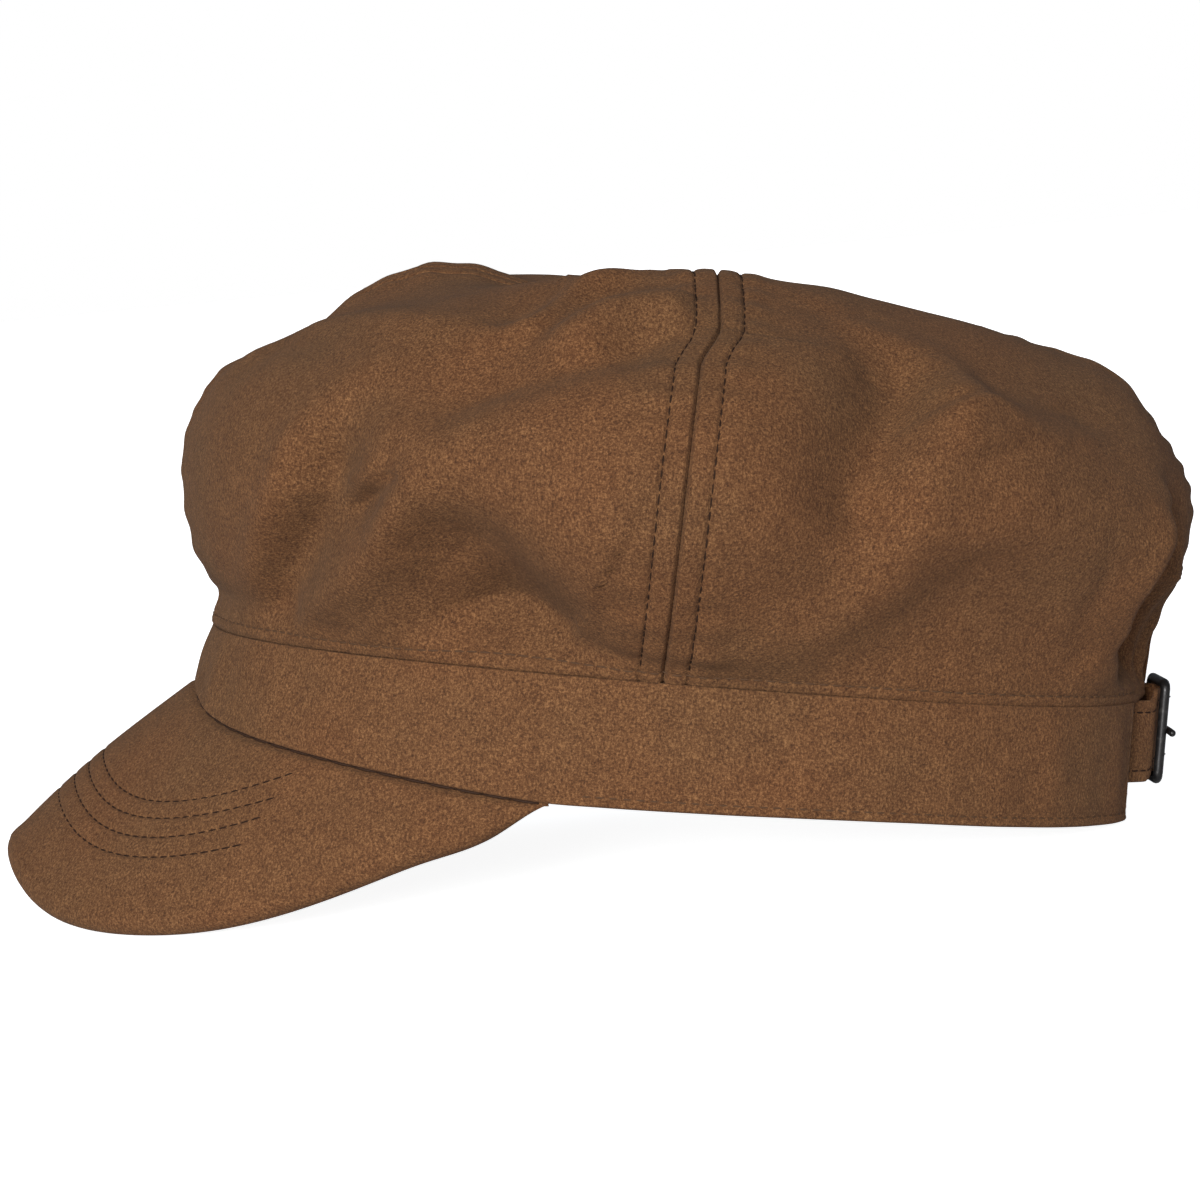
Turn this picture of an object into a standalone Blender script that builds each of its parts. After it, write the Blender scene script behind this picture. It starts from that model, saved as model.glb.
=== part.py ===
"""A four-panel newsboy cap in wool melton, built as the separate pieces it is sewn from.

Metres, +Z up. The origin is the centre of the head opening, in the plane of the band's lower edge.
The visor points along -Y and the wearer's left is +X.

Positions round the head are a turn, in degrees: 0 at the front, 90 at the wearer's left, 180 at
the back. An inset is a depth below the outer face of the band or the crown.
"""

from math import asin, cos, degrees, hypot, pi, radians, sin

import bmesh
import bpy
from mathutils import Vector

MM = 0.001
GAP = 0.3 * MM

# The head opening and the band round it
HALF_WIDTH = 84.5 * MM
HALF_LENGTH = 103.0 * MM
BAND_HEIGHT = 27.5 * MM
FRONT_FLARE = 4.5 * MM
WOOL = 1.6 * MM
FRONT_RISE = 9.5 * MM
BAND_COLUMNS = 60
LAYER_COLUMNS = 48

# Depths of the layers behind the band's outer face
STIFFENER_INSET = 2.0 * MM
STIFFENER_THICK = 1.0 * MM
SWEATBAND_INSET = 3.4 * MM
SWEATBAND_THICK = 1.2 * MM
LABEL_INSET = SWEATBAND_INSET + SWEATBAND_THICK + GAP
LABEL_THICK = 0.5 * MM
LABEL_TURNS = (134, 150)
LABEL_HEIGHTS = (6 * MM, 24 * MM)
INNER_EDGE = 0.6 * MM

# The crown
CROWN_BASE = BAND_HEIGHT + GAP
WIDEST_HEIGHT = 66.0 * MM
CROWN_HEIGHT = 113.5 * MM
SIDE_OVERHANG = 20.0 * MM
END_OVERHANG = 8.0 * MM
PANEL_PUFF = 0.018
TOP_SAG = 14.0 * MM
SIDE_RISE = 5.0 * MM
SAG_SHARE = 0.6
LOWER_SHARE = 0.26
CROWN_EYE = 2.2 * MM
LINING_EYE = 1.2 * MM
LINING_INSET = 4.0 * MM
LINING_THICK = 0.6 * MM

# The visor
VISOR_HALF_TURN = 77.0
VISOR_TIP_SHARE = 0.97
VISOR_HALF_WIDTH = 84.0 * MM
VISOR_CENTRE = -24.0 * MM
VISOR_REACH = 119.0 * MM
VISOR_FRONT_DROP = 26.3 * MM
VISOR_SIDE_DROP = 20.4 * MM
VISOR_BULGE = 2.4 * MM
COVER_THICK = 1.4 * MM
BOARD_THICK = 1.8 * MM
BOARD_MARGIN = 0.06
UNDER_MARGIN = 0.012
VISOR_GAP = 0.5 * MM

# The back strap and its buckle
STRAP_WIDTH = 18.0 * MM
STRAP_THICK = 1.2 * MM
STRAP_HEIGHT = 18.3 * MM
STRAP_LIFT = 2.2 * MM
LIFT_REACH = 11.0 * MM
LIFT_RAMP = 5.0 * MM
BACK_GAP = 20.0 * MM
STRAP_ROOT = 34.0 * MM
TAIL_END = 46.0 * MM
TAIL_TAPER = 5.0 * MM
TAIL_TIP_SHARE = 0.35
TAIL_REST = -BACK_GAP - 4.0 * MM
LOOP_START = -27.0 * MM
LOOP_LENGTH = 8.0 * MM
LOOP_THICK = 1.0 * MM
LAYER_DEPTH = WOOL + GAP + STRAP_THICK / 2
WIRE = 1.1 * MM
PRONG_WIRE = 0.8 * MM
HEEL_X = -7.0 * MM
HEEL_DEPTH = 3.1 * MM
OUTER_X = 7.5 * MM
OUTER_DEPTH = 4.8 * MM
FRAME_HALF_HEIGHT = STRAP_WIDTH / 2 + 0.4 * MM + WIRE
FRAME_CORNER = 1.6 * MM
PRONG_RING = WIRE + GAP + PRONG_WIRE
LOOP_RADIUS = WIRE + GAP + STRAP_THICK / 2
SLOT_HEIGHT = 2.8 * MM
SLOT_REACH = 9.0 * MM
STRAP_SLOT = (-11.0 * MM, 2.5 * MM)
TAB_SLOT = (-10.6 * MM, -2.0 * MM)
FOLD_LENGTH = 8.0 * MM
PRONG_OVERHANG = 1.6 * MM
PRONG_ARCH = 0.25 * MM

# The covered button on top
BUTTON_RADIUS = 8.5 * MM
BUTTON_HEIGHT = 5.5 * MM
BUTTON_CLOTH = 1.0 * MM
SHANK_RADIUS = 1.2 * MM
SHANK_LENGTH = 3.0 * MM
TURNED_STEPS = 24

MATERIALS = {
    "wool": ((0.195, 0.090, 0.038), 0.95, 0.0),
    "lining": ((0.045, 0.032, 0.026), 0.45, 0.0),
    "cotton": ((0.060, 0.040, 0.028), 0.85, 0.0),
    "elastic": ((0.012, 0.012, 0.013), 0.80, 0.0),
    "buckram": ((0.70, 0.68, 0.62), 0.90, 0.0),
    "board": ((0.75, 0.75, 0.73), 0.55, 0.0),
    "black_metal": ((0.010, 0.010, 0.011), 0.35, 1.0),
    "tin": ((0.60, 0.60, 0.58), 0.35, 1.0),
    "label": ((0.80, 0.78, 0.72), 0.60, 0.0),
}


# ---------------------------------------------------------------- shape functions


def smooth(x):
    x = min(max(x, 0.0), 1.0)
    return x * x * (3 - 2 * x)


def frontness(turn):
    """1 at the front of the cap and 0 at its back."""
    return cos(radians(turn) / 2) ** 2


def front_rise(turn):
    """How far the band's lower edge arches up over the visor."""
    share = abs((turn + 180) % 360 - 180) / VISOR_HALF_TURN
    return FRONT_RISE * cos(pi / 2 * min(share, 1.0)) ** 2


def band_point(turn, height, inset=0.0):
    """A point of the band, which stands upright at the back and flares at the front."""
    flare = FRONT_FLARE * frontness(turn) * (1 - height / BAND_HEIGHT)
    across = HALF_WIDTH + flare - inset
    along = HALF_LENGTH + flare - inset
    return Vector((across * sin(radians(turn)), -along * cos(radians(turn)), height))


def crown_outline(turn, climb):
    """The crown's outer face: climb is 0 at the band and 1 at the middle of the top."""
    if climb < LOWER_SHARE:
        up = climb / LOWER_SHARE
        full = 1 - (1 - up) ** 1.6
        bulge = smooth(up) + (full - smooth(up)) * frontness(turn)
        shrink = 1.0
        height = CROWN_BASE + (WIDEST_HEIGHT - CROWN_BASE) * up
    else:
        arch = pi / 2 * (climb - LOWER_SHARE) / (1 - LOWER_SHARE)
        bulge = 1.0
        shrink = max(cos(arch), 0.0)
        height = WIDEST_HEIGHT + (CROWN_HEIGHT - WIDEST_HEIGHT) * sin(arch) ** 0.87
        height += SIDE_RISE * sin(radians(turn)) ** 2 * sin(arch) * smooth(shrink / SAG_SHARE)
        if shrink < SAG_SHARE:
            height -= TOP_SAG * (1 - (shrink / SAG_SHARE) ** 2) ** 2
    puff = 1 + PANEL_PUFF * bulge * sin(radians(2 * turn)) ** 2
    across = (HALF_WIDTH + SIDE_OVERHANG * bulge) * puff * shrink
    along = (HALF_LENGTH + END_OVERHANG * bulge) * puff * shrink
    return Vector((across * sin(radians(turn)), -along * cos(radians(turn)), height))


def crown_point(turn, climb, inset=0.0):
    step = 0.002
    round_it = crown_outline(turn + 1, climb) - crown_outline(turn - 1, climb)
    up = crown_outline(turn, climb + step) - crown_outline(turn, climb - step)
    return crown_outline(turn, climb) - round_it.cross(up).normalized() * inset


def eye_climb(radius):
    """The climb at which the crown's half length has shrunk to this radius."""
    arch = pi / 2 - asin(radius / (HALF_LENGTH + END_OVERHANG))
    return LOWER_SHARE + (1 - LOWER_SHARE) * arch / (pi / 2)


def visor_ruling(across, out):
    """The visor before its bulge: across runs from -1 to 1, out from the band to the edge."""
    turn = across * VISOR_HALF_TURN
    root = band_point(turn, front_rise(turn)) - Vector((0, 0, GAP))
    sweep = pi / 2 * across
    side_drop = VISOR_SIDE_DROP * abs(sin(2 * sweep)) ** (1.2 + 0.8 * cos(sweep))
    edge = Vector((
        VISOR_HALF_WIDTH * sin(sweep),
        VISOR_CENTRE - VISOR_REACH * cos(sweep),
        -VISOR_FRONT_DROP * cos(sweep) - side_drop,
    ))
    return root.lerp(edge, out)


def visor_point(across, out, depth=0.0):
    step = 0.01
    side = visor_ruling(across + step, out) - visor_ruling(across - step, out)
    along = visor_ruling(across, 1.0) - visor_ruling(across, 0.0)
    outward = along.cross(side).normalized()
    bulge = VISOR_BULGE * 4 * out * (1 - out) * cos(pi / 2 * across) ** 0.5
    return visor_ruling(across, out) + outward * (bulge - depth)


def back_turn(x):
    """The turn at which the band, near its back, is at this X."""
    return 180 - degrees(asin(x / HALF_WIDTH))


def back_point(x, height, depth):
    """A point near the back: depth is how far it stands out of the band's outer face."""
    return band_point(back_turn(x), height, -depth)


def through(knots, x):
    """A smooth line through (x, value) knots whose x falls from the first to the last."""
    if x >= knots[0][0]:
        return knots[0][1]
    for (high, start), (low, end) in zip(knots, knots[1:]):
        if x >= low:
            return start + (end - start) * smooth((high - x) / (high - low))
    return knots[-1][1]


# ---------------------------------------------------------------- building blocks


def put(name, mesh, collection, material):
    obj = bpy.data.objects.new(name, mesh)
    collection.objects.link(obj)
    obj.data.materials.append(bpy.data.materials[material])
    return obj


def sheet(name, columns, rows, point, thick, collection, material, inward=-1.0):
    """An open grid laid on point(u, v), thickened behind its outer face."""
    bm = bmesh.new()
    bmesh.ops.create_grid(bm, x_segments=columns, y_segments=rows, size=0.5)
    for vertex in bm.verts:
        vertex.co = point(vertex.co.x + 0.5, vertex.co.y + 0.5)
    mesh = bpy.data.meshes.new(name)
    bm.to_mesh(mesh)
    bm.free()
    mesh.shade_smooth()
    obj = put(name, mesh, collection, material)
    shell = obj.modifiers.new("Thickness", "SOLIDIFY")
    shell.thickness = thick
    shell.offset = inward
    shell.use_even_offset = True
    return obj


def wrapped_box(name, columns, point, collection, material):
    """A box cut into columns, its corners laid on point(u, v, w): u along it, v up, w inwards."""
    bm = bmesh.new()
    bmesh.ops.create_cube(bm, size=1.0)
    lengthwise = [edge for edge in bm.edges if edge.verts[0].co.x != edge.verts[1].co.x]
    bmesh.ops.subdivide_edges(bm, edges=lengthwise, cuts=columns - 1, use_grid_fill=True)
    for vertex in bm.verts:
        u, w, v = vertex.co + Vector((0.5, 0.5, 0.5))
        vertex.co = point(u, v, w)
    mesh = bpy.data.meshes.new(name)
    bm.to_mesh(mesh)
    bm.free()
    mesh.shade_smooth()
    mesh.set_sharp_from_angle(angle=radians(40))
    return put(name, mesh, collection, material)


def wire(name, points, radius, collection, closed):
    """A round metal wire through the points, with flat ends if it isn't closed."""
    curve = bpy.data.curves.new(name, "CURVE")
    curve.dimensions = "3D"
    curve.bevel_depth = radius
    curve.bevel_resolution = 2
    curve.use_fill_caps = not closed
    spline = curve.splines.new("POLY")
    spline.points.add(len(points) - 1)
    for spot, place in zip(spline.points, points):
        spot.co = (*place, 1.0)
    spline.use_cyclic_u = closed
    return put(name, curve, collection, "black_metal")


def turned(name, profile, collection, material):
    """A solid of revolution about Z from (radius, height) points, outer side first."""
    bm = bmesh.new()
    spots = [bm.verts.new((radius, 0, height)) for radius, height in profile]
    for first, second in zip(spots, spots[1:]):
        bm.edges.new((first, second))
    mesh = bpy.data.meshes.new(name)
    bm.to_mesh(mesh)
    bm.free()
    obj = put(name, mesh, collection, material)
    lathe = obj.modifiers.new("Turn", "SCREW")
    lathe.steps = lathe.render_steps = TURNED_STEPS
    lathe.use_merge_vertices = True
    lathe.merge_threshold = 0.00001
    lathe.use_smooth_shade = True


def slot_cutter(name, low, high, cutters):
    """A box from one corner to the other, used only to cut."""
    bm = bmesh.new()
    bmesh.ops.create_cube(bm, size=1.0)
    low, high = Vector(low), Vector(high)
    for vertex in bm.verts:
        share = vertex.co + Vector((0.5, 0.5, 0.5))
        vertex.co = low + Vector(a * b for a, b in zip(share, high - low))
    mesh = bpy.data.meshes.new(name)
    bm.to_mesh(mesh)
    bm.free()
    obj = bpy.data.objects.new(name, mesh)
    obj.hide_render = True
    obj.display_type = "WIRE"
    cutters.objects.link(obj)
    return obj


def cut(obj, cutter):
    boolean = obj.modifiers.new("Slot", "BOOLEAN")
    boolean.object = cutter
    boolean.operation = "DIFFERENCE"


# ---------------------------------------------------------------- crown and lining


def gore(name, first_turn, eye, inset, thick, columns, rows, collection, material):
    """One quarter of the crown or the lining, a gap clear of its neighbours at each seam."""
    top = eye_climb(eye)

    def point(u, v):
        climb = 0.001 + (top - 0.001) * v
        middle = crown_outline(first_turn + 45, climb)
        margin = degrees(GAP / 2 / max(hypot(middle.x, middle.y) - inset, eye))
        turn = first_turn + margin + (90 - 2 * margin) * u
        return crown_point(turn, climb, inset)

    return sheet(name, columns, rows, point, thick, collection, material)


def crown_panels(collection):
    for name, first_turn in (
        ("front_left", 0),
        ("back_left", 90),
        ("back_right", 180),
        ("front_right", 270),
    ):
        gore("crown_panel_" + name, first_turn, CROWN_EYE, 0.0, WOOL, 14, 12, collection, "wool")
        gore("lining_panel_" + name, first_turn, LINING_EYE, LINING_INSET, LINING_THICK,
             10, 8, collection, "lining")


def crown_button(collection):
    """A cloth-covered button: a domed cover over a tin shell with a short shank."""
    seat = crown_outline(90, eye_climb(BUTTON_RADIUS)).z + 2 * GAP
    arcs = [pi / 2 * step / 5 for step in range(6)]
    outer = [(BUTTON_RADIUS * sin(a), seat + BUTTON_HEIGHT * cos(a)) for a in arcs]
    inner_radius = BUTTON_RADIUS - BUTTON_CLOTH
    inner_height = BUTTON_HEIGHT - BUTTON_CLOTH
    inner = [(inner_radius * sin(a), seat + inner_height * cos(a)) for a in reversed(arcs)]
    turned("crown_button_cover", outer + inner, collection, "wool")
    shell_radius = inner_radius - GAP
    shell_height = inner_height - GAP
    shell = [(shell_radius * sin(a), seat + shell_height * cos(a)) for a in arcs]
    shank = [
        (SHANK_RADIUS, seat),
        (SHANK_RADIUS, seat - SHANK_LENGTH),
        (0, seat - SHANK_LENGTH),
    ]
    turned("crown_button_shell", shell + shank, collection, "tin")


# ---------------------------------------------------------------- band and its layers


def strip(name, turns, heights, inset, thick, columns, collection, material):
    """A strip round the head. heights(turn) gives its lower and upper edge."""

    def point(u, v, w):
        turn = turns[0] + (turns[1] - turns[0]) * u
        low, high = heights(turn)
        return band_point(turn, low + (high - low) * v, inset + thick * w)

    return wrapped_box(name, columns, point, collection, material)


def band(collection):
    band_end = back_turn(BACK_GAP)
    stiffener_end = back_turn(STRAP_ROOT) - 1.0
    sweatband_end = stiffener_end
    elastic_end = sweatband_end + 0.4

    def band_edges(turn):
        return front_rise(turn), BAND_HEIGHT

    def inner_edges(turn):
        return front_rise(turn) + INNER_EDGE, BAND_HEIGHT - INNER_EDGE

    strip("band_outer", (-band_end, band_end), band_edges, 0.0, WOOL,
          BAND_COLUMNS, collection, "wool")
    strip("band_stiffener", (-stiffener_end, stiffener_end), inner_edges, STIFFENER_INSET,
          STIFFENER_THICK, LAYER_COLUMNS, collection, "buckram")
    strip("sweatband", (-sweatband_end, sweatband_end), inner_edges, SWEATBAND_INSET,
          SWEATBAND_THICK, LAYER_COLUMNS, collection, "cotton")
    strip("back_elastic", (elastic_end, 360 - elastic_end), inner_edges, SWEATBAND_INSET,
          SWEATBAND_THICK, 12, collection, "elastic")
    strip("size_label", LABEL_TURNS, lambda turn: LABEL_HEIGHTS, LABEL_INSET,
          LABEL_THICK, 4, collection, "label")


# ---------------------------------------------------------------- visor


def visor(collection):
    def plate(name, depth, thick, margin, material):
        def point(u, v):
            across = VISOR_TIP_SHARE * (1 - 2 * u) * (1 - 2 * margin)
            return visor_point(across, v * (1 - margin), depth)

        sheet(name, 24, 4, point, thick, collection, material)

    plate("visor_top_cover", 0.0, COVER_THICK, 0.0, "wool")
    plate("visor_board", COVER_THICK + VISOR_GAP, BOARD_THICK, BOARD_MARGIN, "board")
    under_depth = COVER_THICK + BOARD_THICK + 2 * VISOR_GAP
    plate("visor_under_cover", under_depth, COVER_THICK, UNDER_MARGIN, "wool")


# ---------------------------------------------------------------- back strap and buckle


def strap_height(x):
    """The height of the strap's middle line, which the buckle lifts clear of the crown's edge."""
    return STRAP_HEIGHT + STRAP_LIFT * smooth((LIFT_REACH - abs(x)) / LIFT_RAMP)


def long_strap_depth(x):
    """How far the long strap's middle stands out of the band, from its root to its tail."""
    return through((
        (STRAP_ROOT, -LAYER_DEPTH),
        (BACK_GAP - 0.5 * MM, -LAYER_DEPTH),
        (OUTER_X + 0.5 * MM, OUTER_DEPTH - WIRE - GAP - STRAP_THICK / 2 - 0.1 * MM),
        (HEEL_X, HEEL_DEPTH + LOOP_RADIUS + STRAP_THICK + GAP),
        (TAIL_REST, STRAP_THICK / 2 + GAP + 0.1 * MM),
    ), x)


def long_strap(collection, cutters):
    """The strap from the wearer's left, under the outer bar, over the heel bar, to its tail."""

    def point(u, v, w):
        x = STRAP_ROOT - (STRAP_ROOT + TAIL_END) * u
        narrowing = TAIL_TIP_SHARE + (1 - TAIL_TIP_SHARE) * smooth((x + TAIL_END) / TAIL_TAPER)
        height = strap_height(x) + STRAP_WIDTH * (v - 0.5) * narrowing
        return back_point(x, height, long_strap_depth(x) + STRAP_THICK * (0.5 - w))

    strap = wrapped_box("strap_long", 44, point, collection, "wool")
    middle = strap_height(0)
    half = SLOT_HEIGHT / 2
    cut(strap, slot_cutter(
        "strap_slot",
        (STRAP_SLOT[0], HALF_LENGTH - 2 * MM, middle - half),
        (STRAP_SLOT[1], HALF_LENGTH + SLOT_REACH, middle + half),
        cutters,
    ))


def tab_line():
    """The short tab's middle line as (x, depth): out of the band, round the heel bar, back."""
    root = -STRAP_ROOT
    low_start = HEEL_X - 2 * MM
    ramp = [root + (low_start - root) * step / 12 for step in range(13)]
    knots = (
        (low_start, HEEL_DEPTH - LOOP_RADIUS),
        (-BACK_GAP + 0.5 * MM, -LAYER_DEPTH),
        (root, -LAYER_DEPTH),
    )
    line = [(x, through(knots, x)) for x in ramp]
    for step in range(9):
        angle = -pi / 2 + pi * step / 8
        line.append((HEEL_X + LOOP_RADIUS * cos(angle), HEEL_DEPTH + LOOP_RADIUS * sin(angle)))
    fold_end = HEEL_X - FOLD_LENGTH
    for step in range(1, 6):
        x = HEEL_X + (fold_end - HEEL_X) * step / 5
        line.append((x, long_strap_depth(x) - STRAP_THICK - GAP))
    return line


def short_tab(collection, cutters):
    """The tab from the wearer's right that holds the buckle's heel bar in its fold."""
    line = tab_line()

    def spot(index):
        x, depth = line[index]
        return back_point(x, strap_height(x), depth)

    def point(u, v):
        index = round(u * (len(line) - 1))
        return spot(index) + Vector((0, 0, STRAP_WIDTH * (v - 0.5)))

    tab = sheet("strap_tab", len(line) - 1, 1, point, STRAP_THICK, collection, "wool",
                inward=0.0)
    middle = strap_height(HEEL_X)
    half = SLOT_HEIGHT / 2
    cut(tab, slot_cutter(
        "tab_slot",
        (TAB_SLOT[0], HALF_LENGTH - 4 * MM, middle - half),
        (TAB_SLOT[1], HALF_LENGTH + SLOT_REACH, middle + half),
        cutters,
    ))


def tail_loop(collection):
    """The loop on the band that holds the strap's tail flat."""
    leg = STRAP_WIDTH / 2 + 0.9 * MM
    low = 0.8 * MM
    high = STRAP_THICK + 3 * GAP + 0.6 * MM
    line = ((-leg, low), (-leg, high), (0, high), (leg, high), (leg, low))

    def point(u, v):
        height, depth = line[round(v * (len(line) - 1))]
        x = LOOP_START - LOOP_LENGTH * u
        return back_point(x, strap_height(x) + height, depth)

    sheet("tail_loop", 3, len(line) - 1, point, LOOP_THICK, collection, "wool", inward=0.0)


def buckle_frame(collection, heel, reach):
    """A closed ring of wire round the strap. Its parent empty stands on the heel bar."""
    half = FRAME_HALF_HEIGHT
    corners = ((0, -half), (reach.length, -half), (reach.length, half), (0, half))
    outward = reach.normalized()
    points = []
    for index, (along, height) in enumerate(corners):
        start = -pi + index * pi / 2
        centre_along = along + FRAME_CORNER * (1 if along == 0 else -1)
        centre_height = height + FRAME_CORNER * (1 if height < 0 else -1)
        for step in range(4):
            angle = start + pi / 2 * step / 3
            points.append(
                outward * (centre_along + FRAME_CORNER * cos(angle))
                + Vector((0, 0, centre_height + FRAME_CORNER * sin(angle)))
            )
    wire("buckle_frame", points, WIRE, collection, closed=True).parent = heel


def buckle_prong(collection, heel, reach):
    """A wire that hooks round the heel bar and lies over the outer bar."""
    outward = reach.normalized()
    normal = Vector((0, 0, 1)).cross(outward)
    points = []
    for step in range(13):
        angle = -pi / 4 - 5 * pi / 4 * step / 12
        points.append((outward * cos(angle) + normal * sin(angle)) * PRONG_RING)
    start = points[-1]
    tip = reach + outward * PRONG_OVERHANG + normal * (WIRE + PRONG_WIRE + GAP / 2)
    for step in range(1, 7):
        share = step / 6
        points.append(start.lerp(tip, share) + normal * PRONG_ARCH * sin(pi * share))
    wire("buckle_prong", points, PRONG_WIRE, collection, closed=False).parent = heel


def buckle(collection):
    height = strap_height(HEEL_X)
    heel = bpy.data.objects.new("heel_bar_axis", None)
    heel.location = back_point(HEEL_X, height, HEEL_DEPTH)
    collection.objects.link(heel)
    reach = back_point(OUTER_X, height, OUTER_DEPTH) - heel.location
    buckle_frame(collection, heel, reach)
    buckle_prong(collection, heel, reach)


# ---------------------------------------------------------------- the whole cap


def make_materials():
    for name, (colour, roughness, metallic) in MATERIALS.items():
        material = bpy.data.materials.new(name)
        material.use_nodes = True
        material.diffuse_color = (*colour, 1)
        shader = material.node_tree.nodes["Principled BSDF"]
        shader.inputs["Base Color"].default_value = (*colour, 1)
        shader.inputs["Roughness"].default_value = roughness
        shader.inputs["Metallic"].default_value = metallic


def main():
    for obj in list(bpy.data.objects):
        bpy.data.objects.remove(obj, do_unlink=True)
    make_materials()
    cap = bpy.data.collections.new("Newsboy cap")
    cutters = bpy.data.collections.new("Cutters")
    for collection in (cap, cutters):
        bpy.context.scene.collection.children.link(collection)
    crown_panels(cap)
    crown_button(cap)
    band(cap)
    visor(cap)
    long_strap(cap, cutters)
    short_tab(cap, cutters)
    tail_loop(cap)
    buckle(cap)


main()
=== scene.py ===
"""A brown wool newsboy cap, seen from the wearer's left side under soft studio light.

Lengths are in millimetres until a mesh is made. Positions round the head are a turn in degrees:
0 at the front, 90 at the wearer's left, 180 at the back. A climb is 0 where the crown meets the
band and 1 at the middle of its top.
"""

from math import cos, pi, radians, sin

import bpy
import numpy as np
from mathutils import Matrix, Vector


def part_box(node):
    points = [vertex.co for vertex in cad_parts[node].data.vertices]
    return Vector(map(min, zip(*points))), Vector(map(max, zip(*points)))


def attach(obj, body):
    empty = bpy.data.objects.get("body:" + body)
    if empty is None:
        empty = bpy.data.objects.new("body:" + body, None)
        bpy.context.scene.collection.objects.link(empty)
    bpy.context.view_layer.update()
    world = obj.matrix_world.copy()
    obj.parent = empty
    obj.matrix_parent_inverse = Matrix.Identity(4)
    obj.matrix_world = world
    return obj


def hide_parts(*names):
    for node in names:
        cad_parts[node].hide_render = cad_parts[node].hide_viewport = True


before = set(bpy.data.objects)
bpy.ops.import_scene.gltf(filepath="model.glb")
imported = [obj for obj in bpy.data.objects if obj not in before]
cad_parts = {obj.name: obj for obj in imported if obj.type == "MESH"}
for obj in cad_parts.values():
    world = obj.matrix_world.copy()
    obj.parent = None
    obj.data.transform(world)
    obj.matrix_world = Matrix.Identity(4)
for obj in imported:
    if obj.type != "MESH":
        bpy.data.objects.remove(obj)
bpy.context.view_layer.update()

MM = 0.001

BAND_HIGH = np.array(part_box("band_outer")[1]) / MM
CROWN_HIGH = np.array(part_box("crown_panel_back_left")[1]) / MM
BUTTON_LOW, BUTTON_HIGH = (np.array(corner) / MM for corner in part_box("crown_button_cover"))

# The head opening and the band
HALF_WIDTH = 84.5
HALF_LENGTH = 103.0
FRONT_FLARE = 7.0
FRONT_PULL = 1.5
SIDE_ARCH = 2.5
FRONT_RISE = 9.5
CREST_RISE = 5.4
SIDE_LIFT = 0.75
BACK_LIFT = 1.2
BAND_TOP = BAND_HIGH[2]
BAND_THICK = 1.6
BACK_GAP = 20.0

# The visor: its stitched rows lie at out = first - second * |across| ** third
VISOR_HALF_TURN = 77.0
VISOR_HALF_WIDTH = 84.0
VISOR_CENTRE = -24.0
VISOR_REACH = 120.3
VISOR_FRONT_DROP = 25.2
VISOR_SIDE_DROP = 19.9
TIP_SHARE = 0.995
VISOR_EDGE = 2.6
VISOR_ROWS = ((0.69, 1.46, 3.98), (0.605, 2.2, 4.05), (0.53, 1.8, 3.4), (0.455, 2.39, 3.5))

# The back strap and its buckle
STRAP_WIDTH = 18.0
STRAP_THICK = 1.2
STRAP_HEIGHT = 18.3
STRAP_LIFT = 2.2
STRAP_ROOT = 34.0
TAIL_END = 46.0
WIRE = 1.1
PRONG_WIRE = 0.8
HEEL_X = -7.0
HEEL_DEPTH = 3.1
OUTER_X = 7.5
OUTER_DEPTH = 4.8
FRAME_HALF = 10.5
FRAME_CORNER = 1.6
LOOP_RADIUS = 2.0

# The crown
CROWN_BASE = BAND_TOP + 0.2
WIDEST = 66.0
TOP = 113.5
SIDE_OVERHANG = 20.0
END_OVERHANG = CROWN_HIGH[1] - HALF_LENGTH
PANEL_PUFF = 0.018
LOWER_SHARE = 0.26
SAG_SHARE = 0.6
TOP_SAG = 15.0
CLOTH = 1.3
CLIMB_LENGTH = 165.0
SEAMS = (0, 90, 180, 270)
PANELS = ("front_left", "back_left", "back_right", "front_right")
SEAM_STITCH = 5.0
BASE_STITCH = 2.0


def smooth(x):
    x = np.clip(x, 0, 1)
    return x * x * (3 - 2 * x)


def bump(x, width):
    return np.exp(-((x / width) ** 2))


def around(turn, other):
    """How far a turn is from another, in degrees, from -180 to 180."""
    return (np.asarray(turn) - other + 180) % 360 - 180


def frontness(turn):
    return np.cos(np.radians(turn) / 2) ** 2


def front_pull(turn):
    """How far the head opening's front has settled back from the band's ellipse."""
    return FRONT_PULL * bump(around(turn, 0), 60)


def side_arch(turn):
    """How far the band's sides arch up between its front and its back."""
    return SIDE_ARCH * np.sin(np.radians(turn)) ** 2


# ---- the crown's shape


def outline(turn, climb):
    """The crown before its folds, as an array of points."""
    turn, climb = np.broadcast_arrays(np.asarray(turn, float), np.asarray(climb, float))
    angle = np.radians(turn)
    up = np.clip(climb / LOWER_SHARE, 0, 1)
    arch = pi / 2 * np.clip((climb - LOWER_SHARE) / (1 - LOWER_SHARE), 0, 1)
    full = 1 - (1 - up) ** 1.6
    bulge = smooth(up) + (full - smooth(up)) * frontness(turn)
    shrink = np.cos(arch)
    puff = 1 + PANEL_PUFF * bulge * np.sin(2 * angle) ** 2
    across = (HALF_WIDTH + SIDE_OVERHANG * bulge) * puff * shrink
    along = (HALF_LENGTH + END_OVERHANG * bulge) * puff * shrink - front_pull(turn) * (1 - bulge)
    height = CROWN_BASE + (WIDEST - CROWN_BASE) * up + side_arch(turn) * (1 - smooth(climb / 0.3))
    height = height + (TOP - WIDEST) * np.sin(arch) ** 0.87
    height = height + side_rise(turn) * np.sin(arch) * smooth(shrink / SAG_SHARE)
    height = height - TOP_SAG * np.clip(1 - (shrink / SAG_SHARE) ** 2, 0, 1) ** 2
    return np.stack([across * np.sin(angle), -along * np.cos(angle), height], axis=-1)


def side_rise(turn):
    """The stiff side seams hold the top up; the cloth between them hangs lower."""
    side = np.sin(np.radians(turn))
    return 8.2 * np.clip(side, 0, 1) ** 4 - 2.0 * np.clip(-side, 0, 1) ** 2


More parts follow.
